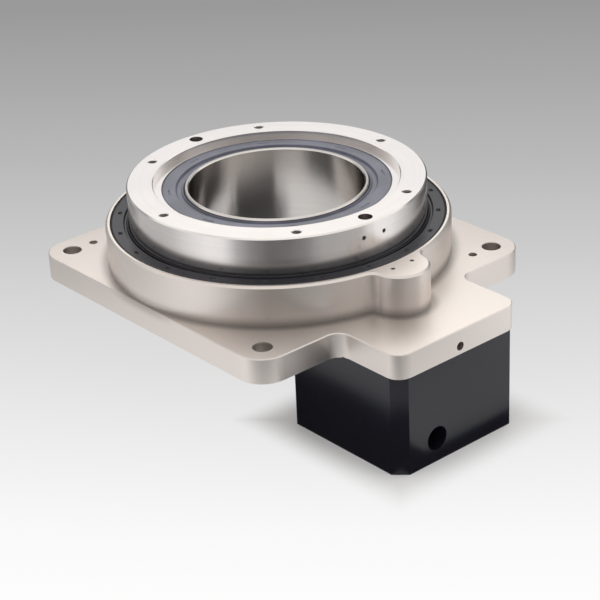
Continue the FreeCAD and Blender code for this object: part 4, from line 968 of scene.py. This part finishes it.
class PLATFORM_OT_threads(Operator):
    """Thread ridges in the tapped holes of the table, the housing and the motor adapter"""
    bl_idname = "platform.threads"
    bl_label = "Screw threads"

    def execute(self, context):
        sizes = context.scene.platform_threads
        finish = context.scene.platform_finishes
        nickel = ground_steel("thread_metal", tint(finish.table_colour, 0.32), 0.34)
        black = black_oxide("thread_black", tint(finish.oxide_colour, 1.3), 0.4, bright=0.2)
        coarse, fine = sizes.coarse_pitch, sizes.fine_pitch
        dowel = mount("table_dowel_a")[0]
        first = math.degrees(math.atan2(dowel[1], dowel[0])) + DOWEL_TO_BOLT
        self.put("table_screw_threads", circle_holes("table_bolts", first, *TABLE_THREAD),
                 coarse, sizes, nickel, "table_metal", "table")
        self.put("flag_screw_threads", self.flag_holes(*FLAG_THREAD),
                 fine, sizes, nickel, "table_metal", "table")
        self.put("sensor_screw_threads", self.sensor_holes(*SENSOR_THREAD),
                 fine, sizes, nickel, "housing_metal", "base")
        self.put("motor_screw_threads",
                 circle_holes("motor_bolts", FIRST_MOTOR_BOLT, *MOTOR_THREAD),
                 coarse, sizes, black, "black_anodised", "base")
        return {"FINISHED"}

    def flag_holes(self, inset, depth):
        """The two holes for a sensor flag in the table's side."""
        mounts = [mount("sensor_flag_screw_a"), mount("sensor_flag_screw_b")]
        return [(point - axis * inset, axis, found["r"], depth) for point, axis, found in mounts]

    def sensor_holes(self, inset, depth):
        """The two holes for the home sensor on the lobe."""
        point, axis, found = mount("home_sensor_screws")
        step = np.array([0.0, found["spacing_y"] / 2, 0.0])
        return [(point + side * step - axis * inset, axis, found["hole_r"], depth)
                for side in (-1, 1)]

    def put(self, name, holes, pitch, sizes, material, slot, body):
        """Add the threads of like holes as one piece."""
        points, faces = thread_mesh(holes, pitch, sizes.crest, sizes.per_turn)
        add_piece(name, points, faces, material, body)


class PLATFORM_OT_studio(Operator):
    """Pale floor, soft light, rings of cards for the metal to reflect, and the camera"""
    bl_idname = "platform.studio"
    bl_label = "Studio"

    def execute(self, context):
        sizes = context.scene.platform_studio
        floor_z = CAD_BOX[0].z - FLOOR_GAP
        self.floor(sizes, floor_z)
        self.cards("studio_near_cards", sizes.near_place, floor_z, NEAR_TOP, NEAR_TONES)
        self.cards("studio_far_cards", sizes.far_place, floor_z, FAR_TOP, FAR_TONES)
        self.flag(sizes, floor_z)
        self.light(context, sizes)
        self.camera(context, sizes)
        context.scene.view_settings.view_transform = "Standard"
        return {"FINISHED"}

    def foot(self):
        """Middle and half side of the block that the platform stands on."""
        low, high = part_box("motor_adapter")
        return (low + high) / 2, (high.x - low.x) / 2

    def floor(self, sizes, floor_z):
        """Flat grid under the block: the point at (u, v), each from -1/2 to 1/2, is
        (u side, v side, floor's height)."""
        steps = np.linspace(-0.5, 0.5, 9)
        u, v = np.meshgrid(steps, steps, indexing="ij")
        points = np.stack([u * sizes.floor_size, v * sizes.floor_size, 0 * u + floor_z], axis=-1)
        self.put("studio_floor", points, grid_faces(*u.shape, False, False),
                 self.floor_material(sizes))

    def floor_material(self, sizes):
        """Pale floor that takes the object's shadow. The camera, reflections and glass see most
        of its tone as it is, and less of it close to the block, where the shadow is deeper."""
        material, tree = new_material("studio_floor")
        _, x, y, _ = tree.place()
        away = x * FLOOR_AWAY[0] + y * FLOOR_AWAY[1]
        # Painted fall-off of the light: the floor's tone darkens away from the camera.
        tone = tree.add("ShaderNodeValToRGB", {"stops": FLOOR_TONES},
                        {0: (away - FLOOR_NEAR) / (FLOOR_FAR - FLOOR_NEAR)})
        matt = tree.add("ShaderNodeBsdfPrincipled", None,
                        {"Base Color": tree.mix(1.0, tone, FLOOR_TINT, "MULTIPLY"),
                         "Roughness": 0.9, "Specular IOR Level": 0.0})
        glow = tree.add("ShaderNodeEmission", None, {"Color": tone, "Strength": 1.0})
        camera, glossy, clear = (tree.add("ShaderNodeLightPath", output=f"Is {kind} Ray")
                                 for kind in ("Camera", "Glossy", "Transmission"))
        middle, half = self.foot()
        off = (x - middle.x).size().math("MAXIMUM", (y - middle.y).size()) - half
        lift = tree.between(off, 0.0, sizes.contact, CONTACT_LIFT * sizes.lift, sizes.lift)
        seen = (camera + glossy + clear) * lift
        tree.finish(tree.add("ShaderNodeMixShader", None, {0: seen, 1: matt, 2: glow}))
        return material

    def ring(self, low, high):
        """Grid once round: u is an angle every 5 degrees, and v is low, middle and high."""
        return np.meshgrid(np.radians(np.arange(0.0, 360.0, 5.0)), np.linspace(low, high, 3),
                           indexing="ij")

    def cards(self, name, distance, low, high, tones):
        """Pale and dark cards round the platform: the point at (u, v) stands at angle u and
        height v, one distance from the platform's axis."""
        u, v = self.ring(low, high)
        points = np.stack([distance * np.cos(u), distance * np.sin(u), v], axis=-1)
        self.reflected(name, points, tones)

    def flag(self, sizes, floor_z):
        """Black flag leaning out from the block's foot: the point at (u, v) lies at angle u on a
        square of half side h (1 + v k), v times the flag's height above the floor, where h is
        just outside the block and h k is how far the flag leans out. The height falls to a
        seventh, and k to a third, on the block's bright side."""
        middle, half = self.foot()
        half += 0.5 * MM
        u, v = self.ring(0.0, 1.0)
        bright = window((np.degrees(u) - BRIGHT_SIDE + 180) % 360 - 180, BRIGHT_HALF, BRIGHT_FADE)
        reach = v * sizes.flag_place / half * (1 - bright * BRIGHT_REACH)
        square = half / np.maximum(np.abs(np.cos(u)), np.abs(np.sin(u))) * (1 + reach)
        rise = sizes.flag_height * (1 - bright * BRIGHT_HEIGHT)
        points = np.stack([middle.x + square * np.cos(u), middle.y + square * np.sin(u),
                           floor_z + v * rise], axis=-1)
        self.reflected("studio_flag", points, BLACK_TONES)

    def reflected(self, name, points, tones):
        """A ring of cards that only reflections show, its tones by angle round the axis."""
        material, tree = new_material(name)
        _, x, y, _ = tree.place()
        tree.finish(tree.add("ShaderNodeEmission", None, {"Color": tree.turn_tone(x, y, tones)}))
        ring = self.put(name, points, grid_faces(*points.shape[:2], True, False), material)
        ring.visible_camera = False
        ring.visible_diffuse = False
        ring.visible_shadow = False

    def put(self, name, points, faces, material):
        """Add a part of the stage."""
        made = mesh_object(name, points, faces, material)
        return made

    def light(self, context, sizes):
        """Even light near the horizon, softboxes above it that go by angle, and one overhead.
        Each is a share of the brightest, whose level is the background's strength."""
        world = bpy.data.worlds.new("studio_light")
        context.scene.world = world
        tree = Tree(world)
        x, y, z = tree.split(tree.add("ShaderNodeTexCoord", output="Generated"))
        softboxes = tree.between(z, *SOFTBOX_FADE)
        top = tree.between(z, *OVERHEAD_FADE)
        horizon_part = (1 - softboxes) * (sizes.horizon / sizes.high_light)
        high_part = softboxes * (1 - top) * tree.turn_tone(x, y, HIGH_TONES)
        total = horizon_part + high_part + top * (sizes.overhead / sizes.high_light)
        background = tree.add("ShaderNodeBackground", None,
                              {"Color": tree.mix(total, (0.0, 0.0, 0.0), SKY_TINT),
                               "Strength": sizes.high_light})
        tree.add("ShaderNodeOutputWorld", None, {"Surface": background})

    def camera(self, context, sizes):
        """The camera, with its lens given for a sensor 36 mm wide."""
        lens = bpy.data.cameras.new("studio_camera")
        lens.sensor_width = 36.0
        lens.lens = sizes.camera_lens
        lens.clip_start = 0.01
        lens.clip_end = 100.0
        camera = bpy.data.objects.new("studio_camera", lens)
        camera.location = sizes.camera_place
        camera.rotation_euler = sizes.camera_turn
        bpy.context.collection.objects.link(camera)
        context.scene.camera = camera


OPERATORS = (
    PLATFORM_OT_housing,
    PLATFORM_OT_table,
    PLATFORM_OT_sleeve,
    PLATFORM_OT_bearings,
    PLATFORM_OT_gears,
    PLATFORM_OT_fasteners,
    PLATFORM_OT_block,
    PLATFORM_OT_seals,
    PLATFORM_OT_threads,
    PLATFORM_OT_studio,
)


class VIEW3D_PT_platform(Panel):
    """Buttons and sizes of the platform in the 3D view's sidebar"""
    bl_idname = "VIEW3D_PT_platform"
    bl_label = "Hollow rotary platform"
    bl_space_type = "VIEW_3D"
    bl_region_type = "UI"
    bl_category = "Platform"

    def draw(self, context):
        for operator in OPERATORS:
            self.layout.operator(operator.bl_idname)
        for key, group in GROUPS.items():
            box = self.layout.box()
            for name in group.__annotations__:
                box.prop(getattr(context.scene, key), name)


CLASSES = (*GROUPS.values(), *OPERATORS, VIEW3D_PT_platform)


def register():
    """Register the classes and hang each property group on the scene."""
    for made in CLASSES:
        bpy.utils.register_class(made)
    for key, group in GROUPS.items():
        setattr(bpy.types.Scene, key, PointerProperty(type=group))


def unregister():
    """Undo register, in the opposite order."""
    for key in GROUPS:
        delattr(bpy.types.Scene, key)
    for made in reversed(CLASSES):
        bpy.utils.unregister_class(made)


def main():
    register()
    for operator in OPERATORS:
        family, name = operator.bl_idname.split(".")
        getattr(getattr(bpy.ops, family), name)()


if __name__ == "__main__":
    main()
